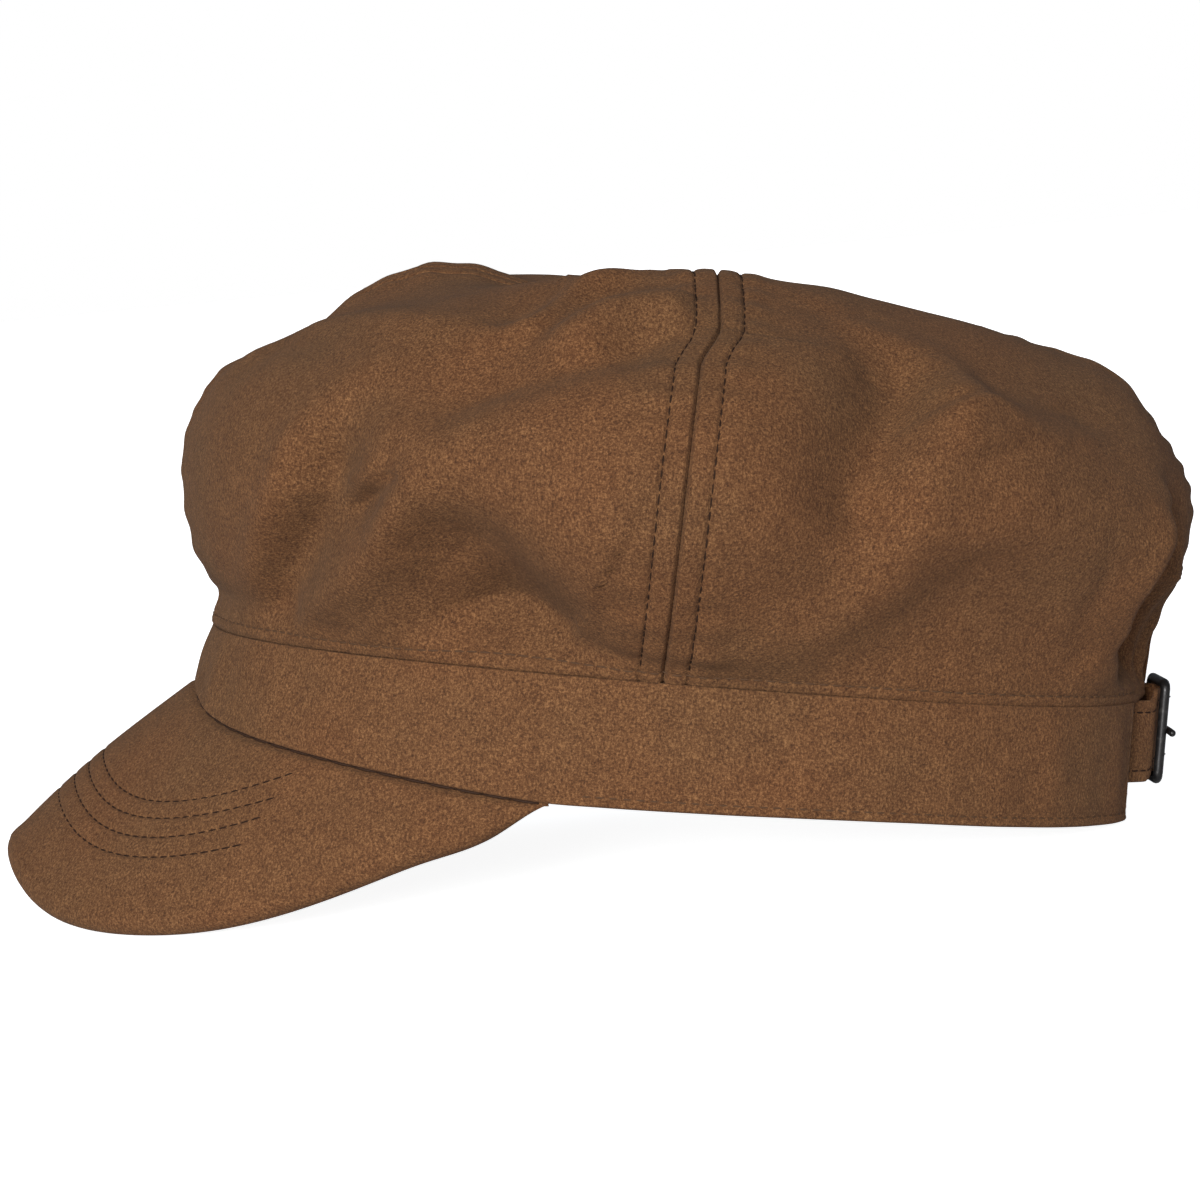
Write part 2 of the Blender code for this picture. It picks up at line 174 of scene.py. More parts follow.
def normals(turn, climb):
    step = 0.001
    round_it = outline(turn + 0.5, climb) - outline(turn - 0.5, climb)
    up = outline(turn, np.minimum(climb + step, 0.999)) - outline(turn, np.minimum(climb, 0.998) - step)
    found = np.cross(round_it, up)
    return found / np.maximum(np.linalg.norm(found, axis=-1, keepdims=True), 1e-9)


def mm_per_degree(turn, climb):
    step = outline(turn + 0.5, climb) - outline(turn - 0.5, climb)
    return np.maximum(np.linalg.norm(step, axis=-1), 0.02)


def rounded_path(knots, count=14):
    """Points along a smooth line through the knots."""
    knots = np.array(knots, float)
    padded = np.vstack([2 * knots[0] - knots[1], knots, 2 * knots[-1] - knots[-2]])
    found = []
    for a, b, c, d in zip(padded, padded[1:], padded[2:], padded[3:]):
        for t in np.linspace(0, 1, max(count // (len(knots) - 1), 3), endpoint=False):
            found.append(0.5 * (2 * b + (c - a) * t + (2 * a - 5 * b + 4 * c - d) * t ** 2
                                + (3 * b - a - 3 * c + d) * t ** 3))
    return np.array(found + [knots[-1]])


def fold(turn, climb, scale, knots, width, height, sharp=1.0):
    """A ridge or a valley along the knots, each a turn and a climb.

    Its width is the one given on the line's left-hand side and sharp times that on the right, and
    it blends between them where the line is nearest. It fades to a quarter at its ends, and is
    edged by slighter rises of the other sign.
    """
    path = rounded_path(knots)
    nearest = np.full(turn.shape, 1e9)
    side = np.zeros(turn.shape)
    share = np.zeros(turn.shape)
    pieces = len(path) - 1
    for index, (start, end) in enumerate(zip(path, path[1:])):
        across, along = around(turn, start[0]) * scale, (climb - start[1]) * CLIMB_LENGTH
        run = (end[0] - start[0]) * scale
        rise = (end[1] - start[1]) * CLIMB_LENGTH
        length = run ** 2 + rise ** 2 + 1e-6
        t = np.clip((across * run + along * rise) / length, 0, 1)
        away = np.hypot(across - run * t, along - rise * t)
        turned = (run * along - rise * across) / np.sqrt(length) / np.maximum(away, 1e-3)
        closer = away < nearest
        nearest = np.where(closer, away, nearest)
        side = np.where(closer, turned, side)
        share = np.where(closer, (index + t) / pieces, share)
    local = width * (sharp + (1 - sharp) * smooth(0.5 + 0.5 * side))
    fade = smooth(share / 0.25) * smooth((1 - share) / 0.25)
    fade = 0.25 + 0.75 * fade
    main = bump(nearest, local)
    edge = bump(nearest - 2.0 * local, 1.1 * local)
    return 1.35 * height * fade * (main - 0.25 * edge)


# Each fold is its knots (turn, climb), its width, its height, and the share of that width it has
# on the right of its line. Those of the right half are looser copies of these.
LEFT_FOLDS = (
    # the rim of the front lobe, and the hollow that has sunk behind it
    (((14, 0.40), (17, 0.47), (20, 0.54), (35, 0.57), (49, 0.56), (63, 0.55)), 5.71, 1, 0.97),
    (((8, 0.59), (20, 0.68), (47, 0.71), (62, 0.66), (68, 0.71)), 13.4, -1.6, 0.75),
    # the ridge that climbs to the top beside the left seam
    (((62, 0.55), (66, 0.59), (68, 0.69), (76, 0.76)), 4.15, 1.8, 0.81),
    # the crease that crosses the left seam
    (((58, 0.33), (61, 0.38), (65, 0.44), (72, 0.48),
      (77, 0.52), (86, 0.59), (99, 0.59)), 16.1, -3.1, 0.5),
    (((71, 0.49), (78, 0.59), (91, 0.62)), 8.15, 5.1, 0.94),
    # folds down the front of the left side
    (((49, 0.38), (46, 0.25), (46, 0.22), (32, -0.00)), 9.95, -5.6, 0.5),
    (((64, 0.29), (58, 0.25), (55, 0.16), (42, 0.06), (38, -0.01)), 6.45, 2.2, 0.7),
    (((57, 0.28), (56, 0.26), (48, 0.18)), 4, -3.2, 0.74),
    # the drag line that runs down to the foot of the left seam
    (((85, 0.03), (76, -0.00), (71, 0.08), (69, 0.12), (65, 0.18), (58, 0.23)), 17.5, -6.1, 0.79),
    (((84, 0.22), (82, 0.16), (85, 0.13)), 4, -0.021, 0.96),
    (((97, 0.05), (89, 0.06), (82, 0.13)), 13.1, 1.9, 1.1),
    (((51, 0.28), (61, 0.31), (67, 0.30)), 11.1, 1.8, 1.2),
    (((71, 0.29), (80, 0.28)), 12.8, -1.2, 1),
    # folds behind the left seam
    (((106, 0.19), (108, 0.27), (109, 0.35), (114, 0.48), (117, 0.56), (114, 0.67)), 12.9, -6.6, 0.5),
    (((99, 0.06), (105, 0.11), (111, 0.15), (117, 0.19), (120, 0.24), (128, 0.30)), 8.25, 1.1, 0.85),
    (((121, 0.48), (124, 0.38)), 18, 2.4, 0.84),
    # the crest at the back of the top, and the plane sloping away from it
    (((103, 0.73), (112, 0.71), (116, 0.64), (117, 0.57),
      (121, 0.50), (127, 0.47), (133, 0.42)), 4.89, 0.64, 0.84),
    (((114, 0.75), (124, 0.69), (127, 0.58), (147, 0.52), (148, 0.41)), 15, -1.7, 0.66),
    # gathers drawn in above the strap
    (((142, 0.29), (143, 0.19), (142, 0.11), (146, 0.05)), 4.29, -0.38, 0.96),
    (((157, 0.30), (152, 0.18), (155, 0.08)), 4, 5, 1.7),
    (((163, 0.30), (157, 0.18), (159, 0.13), (169, 0.04)), 11.3, -9.1, 0.88),
)
# Broad swellings and sinkings: turn, climb, their widths in degrees and in climb, and height
SWELLS = (
    (-4, 0.54, 25, 0.08, -7.6),
    (-14, 0.75, 20, 0.09, 3.3),
    (1, 0.35, 43, 0.10, -1.5),
    (4, -0.01, 42, 0.07, -6.4),
    (-54, 0.70, 21, 0.15, 2.9),
    (176, 0.42, 49, 0.17, -2.6),
    (178, 0.12, 44, 0.11, -2.8),
    (183, 0.55, 23, 0.07, 2.6),
    (192, 0.72, 23, 0.08, -2.4),
    (130, 0.81, 28, 0.06, 3.9),
    (252, 0.66, 18, 0.14, 3.0),
    (67, 0.02, 8, 0.09, -8.1),
    (123, 0.17, 15, 0.10, -4.1),
    (83, 0.28, 21, 0.20, 6.6),
)


def ripples(turn, climb, place):
    """The cloth's slight unevenness, and the pucker beside its seams and over the band."""
    x, y, z = place[..., 0], place[..., 1], place[..., 2]
    uneven = 0.35 * np.sin(x / 13.0 + 1.3 * np.sin(z / 14.0)) * np.sin(y / 15.0 + 0.7)
    uneven = uneven + 0.18 * np.sin((y + z) / 9.5 + 1.1 * np.sin(x / 17.0))
    gathers = bump(around(turn, 180), 17) * bump(climb, 0.17)
    gathers = gathers * 0.9 * np.sin(np.radians(turn) * 62 + 4.0 * climb)
    base = bump(climb, 0.05) * 0.3 * np.sin(np.radians(turn) * 38 + 2 * np.sin(np.radians(turn) * 9))
    return uneven + gathers + base


def seam_form(gap, along):
    """The relief across a seam: a groove, raised allowances, and a dent at each stitched row."""
    gap = np.abs(gap)
    relief = -1.2 * bump(gap, 0.5) + 0.45 * (1 - smooth((gap - 2.5) / 3.0))
    relief = relief - 0.5 * bump(gap - SEAM_STITCH, 0.45) * (1 + 0.3 * np.sin(along * 2.1))
    relief = relief + 0.35 * bump(gap - SEAM_STITCH - 3.0, 2.5)
    pucker = 0.28 * np.sin(along / 1.35 + np.sin(along / 9.0)) * bump(gap - 7, 5)
    return relief + pucker


def lean(turn, climb):
    """How far the cloth is pulled round, in degrees, so that no seam runs quite straight."""
    left = -1.8 + 2.8 * np.clip(climb, 0, 0.46) + 2.4 * smooth((climb - 0.475) / 0.12)
    front = 1.2 * np.sin(5 * climb) * smooth(climb / 0.2)
    right = 1.5 * np.sin(6 * climb + 1) * smooth(climb / 0.2)
    back = 1.0 * np.sin(7 * climb) * smooth(climb / 0.2)
    total = left * bump(around(turn, 90), 28) + front * bump(around(turn, 0), 28)
    return total + right * bump(around(turn, 270), 28) + back * bump(around(turn, 180), 28)


def draped_rise(turn, climb, place, scale):
    """How far folds, swellings and ripples lift the cloth off the outline."""
    rise = np.zeros(turn.shape)
    for knots, width, height, sharp in LEFT_FOLDS:
        rise = rise + fold(turn, climb, scale, knots, width, height, sharp)
        other = [(-a * 0.97 - 4, c * 0.97 + 0.01) for a, c in reversed(knots)]
        rise = rise + fold(turn, climb, scale, other, width * 1.1, height * 0.7, sharp)
    for at, up, wide, tall, height in SWELLS:
        rise = rise + height * bump(around(turn, at), wide) * bump(climb - up, tall)
    inner = smooth((0.97 - climb) / 0.15)
    settle = smooth(climb / 0.055)
    return (rise + ripples(turn, climb, place)) * inner * settle


def crown(turn, climb):
    """The crown's outer face with its folds, seams and puckers."""
    turn, climb = np.broadcast_arrays(np.asarray(turn, float), np.asarray(climb, float))
    pulled = turn + lean(turn, climb)
    place = outline(pulled, climb)
    scale = mm_per_degree(pulled, climb)
    rise = draped_rise(pulled, climb, place, scale)
    along = climb * CLIMB_LENGTH
    inner = smooth((0.97 - climb) / 0.15)
    rise = rise + seam_form(min_gap(turn, scale), along) * inner
    rise = rise - 0.3 * bump(along - BASE_STITCH, 0.6)
    tuck = bump(along, 0.5)
    rise = rise - 0.5 * tuck
    return place + normals(pulled, climb) * rise[..., None] - tuck[..., None] * (0, 0, 0.7)


def min_gap(turn, scale):
    gap = np.full(np.shape(turn), 1e9)
    for seam in SEAMS:
        away = around(turn, seam) * scale
        gap = np.where(np.abs(away) < np.abs(gap), away, gap)
    return gap


# ---- camera


def camera():
    """At the wearer's left, a little above, and rolled so that the back hangs lower."""
    elevation, roll = radians(4.8), radians(4.5)
    distance = 1.2
    target = Vector((0, -0.0174, 0.0388))
    back = Vector((cos(elevation), 0, sin(elevation)))
    level, upright = Vector((0, 1, 0)), Vector((-sin(elevation), 0, cos(elevation)))
    right = level * cos(roll) + upright * sin(roll)
    up = upright * cos(roll) - level * sin(roll)
    data = bpy.data.cameras.new("Camera")
    data.sensor_width = 36
    data.lens = 36 * distance / 0.264
    data.clip_start, data.clip_end = 0.05, 50
    seen = bpy.data.objects.new("Camera", data)
    place = Matrix((right, up, back)).transposed().to_4x4()
    place.translation = target + back * distance
    seen.matrix_world = place
    bpy.context.scene.collection.objects.link(seen)
    bpy.context.scene.camera = seen


# ---- making meshes


def to_object(name, points, faces, material, body="cap"):
    mesh = bpy.data.meshes.new(name)
    mesh.from_pydata((np.asarray(points) * MM).tolist(), [], faces)
    mesh.shade_smooth()
    mesh.materials.append(material)
    made = bpy.data.objects.new(name, mesh)
    bpy.context.scene.collection.objects.link(made)
    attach(made, body)
    return made


def grid_faces(rows, columns, closed=False):
    """Faces of a grid of points held row by row."""
    index = np.arange(rows * columns).reshape(rows, columns)
    if closed:
        index = np.hstack([index, index[:, :1]])
    a, b = index[:-1, :-1], index[:-1, 1:]
    c, d = index[1:, 1:], index[1:, :-1]
    return np.stack([a, b, c, d], axis=-1).reshape(-1, 4).tolist()


def cloth(name, points, thick, material, nodes=(), flip=False):
    """A thick piece of cloth from a grid of points on its outer face."""
    rows, columns = points.shape[:2]
    faces = grid_faces(rows, columns)
    if flip:
        faces = [face[::-1] for face in faces]
    made = to_object(name, points.reshape(-1, 3), faces, material)
    shell = made.modifiers.new("Thickness", "SOLIDIFY")
    shell.thickness = thick * MM
    shell.offset = -1
    shell.use_rim = True
    if nodes:
        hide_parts(*nodes)
    return made


def panel_turns(seam, climbs):
    """Turns across one panel for each climb, finer beside the seams, as a grid."""
    near = np.array([0.0, 0.2, 0.35, 0.5, 0.7, 1.0, 1.4, 1.9, 2.5, 3.1, 3.6, 4.0, 4.3, 4.5, 4.7, 4.85,
                     5.0, 5.15, 5.3, 5.5, 5.7, 6.0, 6.4, 7.0])
    scale = mm_per_degree(np.full(climbs.shape, seam + 20.0), climbs)[:, None]
    wide = 90 * scale
    reach = np.minimum(near[None], 0.32 * wide * near[None] / near[-1]) / scale
    first, last = reach[:, -1:], 90 - reach[:, -1:]
    middle = first + (last - first) * np.linspace(0, 1, 110)[None, 1:-1]
    return seam + np.concatenate([reach, middle, 90 - reach[:, ::-1]], axis=1)


def crown_panels(material):
    climbs = np.concatenate([np.linspace(0, 0.03, 16), np.linspace(0.035, 0.98, 160)])
    for name, seam in zip(PANELS, SEAMS):
        turn = panel_turns(seam, climbs)
        climb = np.repeat(climbs[:, None], turn.shape[1], axis=1)
        node = "crown_panel_" + name
        made = cloth(node + "_cloth", crown(turn, climb), CLOTH, material, [node])


def stitch_mesh(name, lines, material, pitch=2.8, share=0.9, thread=0.2, sink=0.02):
    """Rows of stitches: each line is points and outward directions along a seam, in millimetres."""
    sides, rings = 6, 5
    points, faces = [], []
    for line, outward in lines:
        steps = np.linalg.norm(np.diff(line, axis=0), axis=1)
        run = np.concatenate([[0], np.cumsum(steps)])
        count = max(int(run[-1] / pitch), 1)
        step = run[-1] / count
        for number in range(count):
            shares = np.linspace(0, 1, rings)
            at = number * step + step * (1 - share) / 2 + shares * step * share
            centre = np.stack([np.interp(at, run, line[:, k]) for k in range(3)], axis=1)
            normal = np.stack([np.interp(at, run, outward[:, k]) for k in range(3)], axis=1)
            normal /= np.linalg.norm(normal, axis=1, keepdims=True)
            arch = np.sin(pi * shares)
            centre = centre + normal * (thread * (1.1 * arch - 0.55) - sink)[:, None]
            tangent = centre[-1] - centre[0]
            tangent /= max(np.linalg.norm(tangent), 1e-6)
            aside = np.cross(tangent, normal)
            aside /= np.linalg.norm(aside, axis=1, keepdims=True)
            size = thread * np.sqrt(np.clip(1 - (2 * shares - 1) ** 2 * 0.75, 0, 1))
            first = len(points)
            for ring in range(rings):
                for side in range(sides):
                    angle = 2 * pi * side / sides
                    around_it = cos(angle) * aside[ring] + sin(angle) * normal[ring]
                    points.append(centre[ring] + size[ring] * around_it)
            for ring in range(rings - 1):
                for side in range(sides):
                    a = first + ring * sides + side
                    b = first + ring * sides + (side + 1) % sides
                    faces.append((a, b, b + sides, a + sides))
            faces.append(tuple(first + side for side in reversed(range(sides))))
            faces.append(tuple(first + (rings - 1) * sides + side for side in range(sides)))
    return to_object(name, points, faces, material)


def surface_normals(function, u, v, du, dv):
    a = function(u + du, v) - function(u - du, v)
    b = function(u, v + dv) - function(u, v - dv)
    found = np.cross(a, b)
    return found / np.maximum(np.linalg.norm(found, axis=-1, keepdims=True), 1e-9)


def crown_stitches(thread, soft_thread):
    lines = []
    climbs = np.linspace(0.018, 0.90, 260)
    for seam in SEAMS:
        for side in (-1, 1):
            scale = mm_per_degree(np.full(climbs.shape, float(seam)), climbs)
            turns = seam + side * SEAM_STITCH / scale
            lines.append((crown(turns, climbs), surface_normals(crown, turns, climbs, 0.3, 0.003)))
    stitch_mesh("crown_seam_stitches", lines, thread)
    turns = np.linspace(-166, 166, 1200)
    climbs = np.full(turns.shape, BASE_STITCH / CLIMB_LENGTH)
    row = (crown(turns, climbs), surface_normals(crown, turns, climbs, 0.3, 0.003))
    stitch_mesh("crown_base_stitches", [row], soft_thread)


# ---- band


def radial(turn, outward, up=0.0):
    """A vector at each turn round the head: so far outwards, and so far up."""
    angle = np.radians(turn)
    return np.stack([outward * np.sin(angle), -outward * np.cos(angle), up + 0 * angle], axis=-1)


def lower_edge(turn):
    """The height of the band's lower edge: it arches over the visor, and a little at the sides."""
    share = np.abs(around(turn, 0)) / VISOR_HALF_TURN
    arch = FRONT_RISE * np.maximum(np.cos(pi / 2 * np.minimum(share, 1.0)), 0) ** 1.25
    crest = CREST_RISE * bump(around(turn, 0), 16.5)
    side = SIDE_LIFT * np.sin(np.radians(turn)) ** 2
    back = BACK_LIFT * smooth((np.abs(around(turn, 0)) - 78) / 45)
    return arch + crest + side + back


def band_point(turn, height, inset=0.0):
    turn, height, inset = np.broadcast_arrays(
        np.asarray(turn, float), np.asarray(height, float), np.asarray(inset, float))
    flare = FRONT_FLARE * frontness(turn) * (1 - height / BAND_TOP)
    across, along = HALF_WIDTH + 0.65 * flare - inset, HALF_LENGTH + flare - inset - front_pull(turn)
    angle = np.radians(turn)
    raised = height + side_arch(turn)
    return np.stack([across * np.sin(angle), -along * np.cos(angle), raised], axis=-1)


def back_turn(x):
    return 180 - np.degrees(np.arcsin(np.asarray(x, float) / HALF_WIDTH))


def back_point(x, height, depth):
    return band_point(back_turn(x), height, -np.asarray(depth, float))


def rounded_section(height, thick, per_side=24):
    """A closed loop round a strip's section: v along its height from 0 to 1, w inwards from 0 to 1.

    The ends are half circles, as where cloth is turned over.
    """
    radius = thick / 2
    straight = height - 2 * radius
    v = np.concatenate([[0.02, 0.05, 0.09, 0.14], np.linspace(0.2, 0.8, per_side), [0.86, 0.91, 0.95, 0.98]])
    loop = [(radius + straight * s, 0.0) for s in v]
    loop += [(height - radius + radius * sin(a), radius * (1 - cos(a))) for a in np.linspace(0, pi, 9)]
    loop += [(radius + straight * s, thick) for s in v[::-1]]
    loop += [(radius - radius * sin(a), radius * (1 + cos(a))) for a in np.linspace(0, pi, 9)]
    return np.array(loop)


def band_section(height):
    """The band's section: turned up in a round hem below, and pressed sharp at the crown's seam."""
    low, top = BAND_THICK / 2, 0.3
    outer = low + (height - top - low) * np.concatenate([[0, 0.01, 0.025, 0.045], np.linspace(0.065, 1, 44)])
    loop = [(v, 0.0) for v in outer]
    loop += [(height - top + top * sin(a), top * (1 - cos(a))) for a in np.linspace(0.3, pi / 2, 4)]
    loop += [(height, BAND_THICK)]
    loop += [(v, BAND_THICK) for v in np.linspace(height - 2, low, 12)]
    loop += [(low - low * sin(a), low * (1 + cos(a))) for a in np.linspace(0.2, pi - 0.2, 9)]
    return np.array(loop)


def end_caps(rows, columns):
    """The two end faces of a tube of rows rings."""
    return [list(range(columns))[::-1], list(range((rows - 1) * columns, rows * columns))]


def swept(name, point, stations, section, material, nodes=()):
    """A strip: point(u, v, depth) for each station u and each place of the section."""
    u = np.repeat(np.asarray(stations)[:, None], len(section), axis=1)
    v = np.repeat(section[None, :, 0], len(stations), axis=0)
    w = np.repeat(section[None, :, 1], len(stations), axis=0)
    points = point(u, v, w)
    rows, columns = len(stations), len(section)
    faces = grid_faces(rows, columns, closed=True)
    faces += end_caps(rows, columns)
    made = to_object(name, points.reshape(-1, 3), faces, material)
    made.data.set_sharp_from_angle(angle=radians(70))
    if nodes:
        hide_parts(*nodes)
    return made


def band(wool, thread):
    end = float(back_turn(BACK_GAP))
    section_height = BAND_TOP - 0.4

    def point(turn, v, w):
        low = lower_edge(turn)
        share = v / section_height
        height = low + share * (BAND_TOP - 0.3 - low) + 0.1
        corner = np.clip(1 - (end - np.abs(turn)) * 1.75 / 3.0, 0, 1)
        height = height + 3.0 * (1 - np.sqrt(1 - corner ** 2)) * (1 - share) ** 3
        hem = smooth((np.abs(turn) - 66) / 8)
        above = height - low
        dent = 0.35 * bump(above - 2.2, 0.45) * hem
        puff = 0.25 * bump(above - 0.9, 1.0) * hem + 0.3 * bump(share - 0.5, 0.5)
        wave = 0.22 * np.sin(np.radians(turn) * 23 + share * 2) + 0.15 * np.sin(np.radians(turn) * 41 + 1)
        closed_end = 0.5 * bump(np.abs(turn) - end, 0.8)
        outer = np.where(w < BAND_THICK / 2, 1.0, 0.3)
        turned_in = 1.5 * smooth((np.abs(turn) - 78) / 4) * (1 - smooth((above - 1.5) / 2.0))
        w = w * (1 + turned_in / BAND_THICK)
        push = (puff - dent + wave * bump(share - 0.5, 0.45)) * outer - closed_end * outer
        return band_point(turn, height, w - push)

    turns = np.linspace(-end, end, 560)
    swept("band_cloth", point, turns, band_section(section_height), wool, ["band_outer"])
    lines = []

    def face(turn, height):
        return point(turn, height, np.zeros(np.shape(turn)))

    for side in (-1, 1):
        turns = side * np.linspace(80, end - 2.2, 400)
        low = np.full(turns.shape, 2.2)
        line = face(turns, low)
        outward = surface_normals(face, turns, low, 0.3, 0.3)
        lines.append((line, outward))
        heights = np.linspace(2.0, BAND_TOP - 1.5, 40)
        turns = np.full(heights.shape, side * (end - 2.0))
        lines.append((face(turns, heights), surface_normals(face, turns, heights, 0.3, 0.3)))
    stitch_mesh("band_stitches", lines, thread)


# ---- visor


def visor_ruling(across, out):
    across, out = np.broadcast_arrays(np.asarray(across, float), np.asarray(out, float))
    turn = across * VISOR_HALF_TURN
    root = band_point(turn, lower_edge(turn) - 0.25)
    sweep = pi / 2 * across
    side_drop = VISOR_SIDE_DROP * np.abs(np.sin(2 * sweep)) ** (1.2 + 0.8 * np.cos(sweep))
    side_drop = side_drop * (1 - 0.23 * bump(np.abs(across) - 0.45, 0.24))
    side_drop = side_drop + 1.9 * bump(np.abs(across) - 0.925, 0.06)
    edge = np.stack([
        VISOR_HALF_WIDTH * np.sin(sweep),
        VISOR_CENTRE - VISOR_REACH * np.cos(sweep),
        -VISOR_FRONT_DROP * np.cos(sweep) - side_drop + (SIDE_ARCH + SIDE_LIFT) * np.abs(across) ** 8,
    ], axis=-1)
    return root + (edge - root) * out[..., None]


def visor_point(across, out, depth=0.0):
    step = 0.01
    side = visor_ruling(across + step, out) - visor_ruling(across - step, out)
    along = visor_ruling(across, 1.0) - visor_ruling(across, 0.0)
    outward = np.cross(along, side)
    outward = outward / np.linalg.norm(outward, axis=-1, keepdims=True)
    belly = 5.5 * out * (1 - out) * (0.7 + 0.6 * out) * np.cos(pi / 2 * np.clip(across, -1, 1)) ** 0.5
    tucked = smooth((np.abs(across) - 0.93) / 0.065)
    inside = radial(across * VISOR_HALF_TURN, -1.0, 0.6) * tucked[..., None]
    return visor_ruling(across, out) + outward * (belly - depth)[..., None] + inside


def visor_length(across):
    return np.maximum(np.linalg.norm(visor_ruling(across, 1.0) - visor_ruling(across, 0.0), axis=-1), 1.0)


def edge_radius(reach):
    """The rolled edge's radius, smaller where the visor is short."""
    return np.minimum(VISOR_EDGE, 0.3 * reach)


def visor_row(row, across):
    """How far out a stitched row lies: it bows back towards the band at its ends."""
    out, bow, power = row
    return out - bow * np.abs(across) ** power


def visor_face(across, out):
    """The visor's upper face: dented by its stitching, and tucked under the band at its root."""
    reach = visor_length(across)
    inward = (1 - out) * reach
    strength = smooth((0.62 - np.abs(across)) / 0.2)
    dents = sum(bump((visor_row(row, across) - out) * reach, 0.45) for row in VISOR_ROWS) * 0.4 * strength
    swell = 0.3 * bump(inward - 3.4, 2.0) + 0.25 * np.sin(across * 9 + 1) * bump(out - 0.5, 0.3)
    tucked = bump(out * reach, 0.8)
    face = visor_point(across, out, dents - swell + 1.3 * tucked)
    return face + tucked[..., None] * radial(across * VISOR_HALF_TURN, -0.8, 0.7)


def visor(wool, thread):
    across = TIP_SHARE * np.sin(np.linspace(-pi / 2, pi / 2, 260))
    out = np.concatenate([
        np.linspace(0.0, 0.06, 9), np.linspace(0.066, 0.72, 150), np.linspace(0.74, 1.0, 24)])
    u, v = np.meshgrid(across, out)
    reach = visor_length(u)
    radius = edge_radius(reach)
    face = visor_face(u, v * (1 - radius / reach))
    turns, climb = np.meshgrid(across * VISOR_HALF_TURN, (3.2, 1.8, 0.6))
    seam = band_point(turns, lower_edge(turns) + climb, 2.3)
    turn = np.linspace(0, 1, 17)[1:]
    u, v = np.meshgrid(across, turn)
    reach = visor_length(u)
    radius = edge_radius(reach)
    angle = pi * np.minimum(v / 0.8, 1)
    back = np.minimum(3.0, 0.4 * reach) * np.maximum(v - 0.8, 0) / 0.2
    out = 1 - (radius * (1 - np.sin(angle)) + back) / reach
    edge = visor_point(u, out, radius * (1 - np.cos(angle)) * 0.98)
    points = np.concatenate([seam, face, edge])
    cloth("visor_top_cloth", points, 1.0, wool, ["visor_top_cover"], flip=True)

    u, v = np.meshgrid(across * 0.985, np.linspace(0, 1, 60))
    reach = visor_length(u)
    out = v * (1 - np.minimum(2.6, 0.5 * reach) / reach)
    wave = 0.2 * np.sin(u * 14) * bump(v - 0.5, 0.3)
    slim = np.minimum(1, 0.3 * reach / VISOR_EDGE)
    raised = (1.2 * bump(v, 0.03))[..., None] * (0, 0, 1)
    under = visor_point(u, out, (5.1 + wave - 0.9 * bump(1 - v, 0.03)) * slim) + raised
    cloth("visor_under_cloth", under, 1.0, wool, ["visor_under_cover"])
    lines = []
    for row in VISOR_ROWS:
        across = np.linspace(-0.58, 0.58, 500)
        out = visor_row(row, across)
        across, out = across[out > 0.07], out[out > 0.07]
        lines.append((visor_face(across, out), -surface_normals(visor_face, across, out, 0.003, 0.003)))
    stitch_mesh("visor_stitches", lines, thread)
    # Painted shadow: a thin dark strand laid in the groove where the band's hem meets the visor, standing in
    # for the shade of that crease rather than a thread on the cap.
    turns = np.linspace(-VISOR_HALF_TURN + 1.5, VISOR_HALF_TURN - 1.5, 900)
    line = band_point(turns, lower_edge(turns) - 0.1, 0.45)
    shade = plain_thread("painted_seam_shadow", (0.030, 0.015, 0.009))
    stitch_mesh("visor_seam_painted_shadow", [(line, radial(turns, 1.0))], shade, 6.0, 0.99, 0.27)


# ---- strap and buckle


def through(knots, x):
    """A smooth line through knots whose x falls."""
    value = np.full(np.shape(x), float(knots[0][1]))
    for (x0, y0), (x1, y1) in zip(knots, knots[1:]):
        share = smooth((x0 - x) / (x0 - x1))
        value = np.where(x <= x0, y0 + (y1 - y0) * share, value)
    return value


def strap_height(x):
    return STRAP_HEIGHT + STRAP_LIFT * smooth((11 - np.abs(x)) / 5)


def long_strap_depth(x):
    return through((
        (STRAP_ROOT, -2.5),
        (BACK_GAP - 0.5, -2.5),
        (OUTER_X + 0.5, OUTER_DEPTH - WIRE - STRAP_THICK / 2 - 0.4),
        (HEEL_X, HEEL_DEPTH + LOOP_RADIUS + STRAP_THICK + 0.3),
        (-BACK_GAP - 4, STRAP_THICK / 2 + 0.4),
    ), x)


def ribbon(name, centre, side, half, thick, material, nodes=()):
    """A flat strip along the centre points; side is its width's direction at each."""
    centre, side = np.asarray(centre, float), np.asarray(side, float)
    half = np.broadcast_to(half, len(centre))
    tangent = np.gradient(centre, axis=0)
    outward = np.cross(tangent, side)
    outward /= np.linalg.norm(outward, axis=1, keepdims=True)
    radius = thick / 2
    loop = []
    for share in np.linspace(-1, 1, 22):
        loop.append((share, 0.0, 1.0))
    for angle in np.linspace(0, pi, 7)[1:-1]:
        loop.append((1.0, sin(angle), cos(angle)))
    for share in np.linspace(1, -1, 22):
        loop.append((share, 0.0, -1.0))
    for angle in np.linspace(0, pi, 7)[1:-1]:
        loop.append((-1.0, -sin(angle), -cos(angle)))
    loop = np.array(loop)
    across = loop[None, :, 0] * (half[:, None] - radius) + loop[None, :, 1] * radius
    through_it = loop[None, :, 2] * radius
    points = centre[:, None] + side[:, None] * across[..., None] + outward[:, None] * through_it[..., None]
    rows, columns = points.shape[:2]
    faces = grid_faces(rows, columns, closed=True)
    faces += end_caps(rows, columns)
    made = to_object(name, points.reshape(-1, 3), faces, material)
    made.data.set_sharp_from_angle(angle=radians(60))
    if nodes:
        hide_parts(*nodes)
    return made, outward


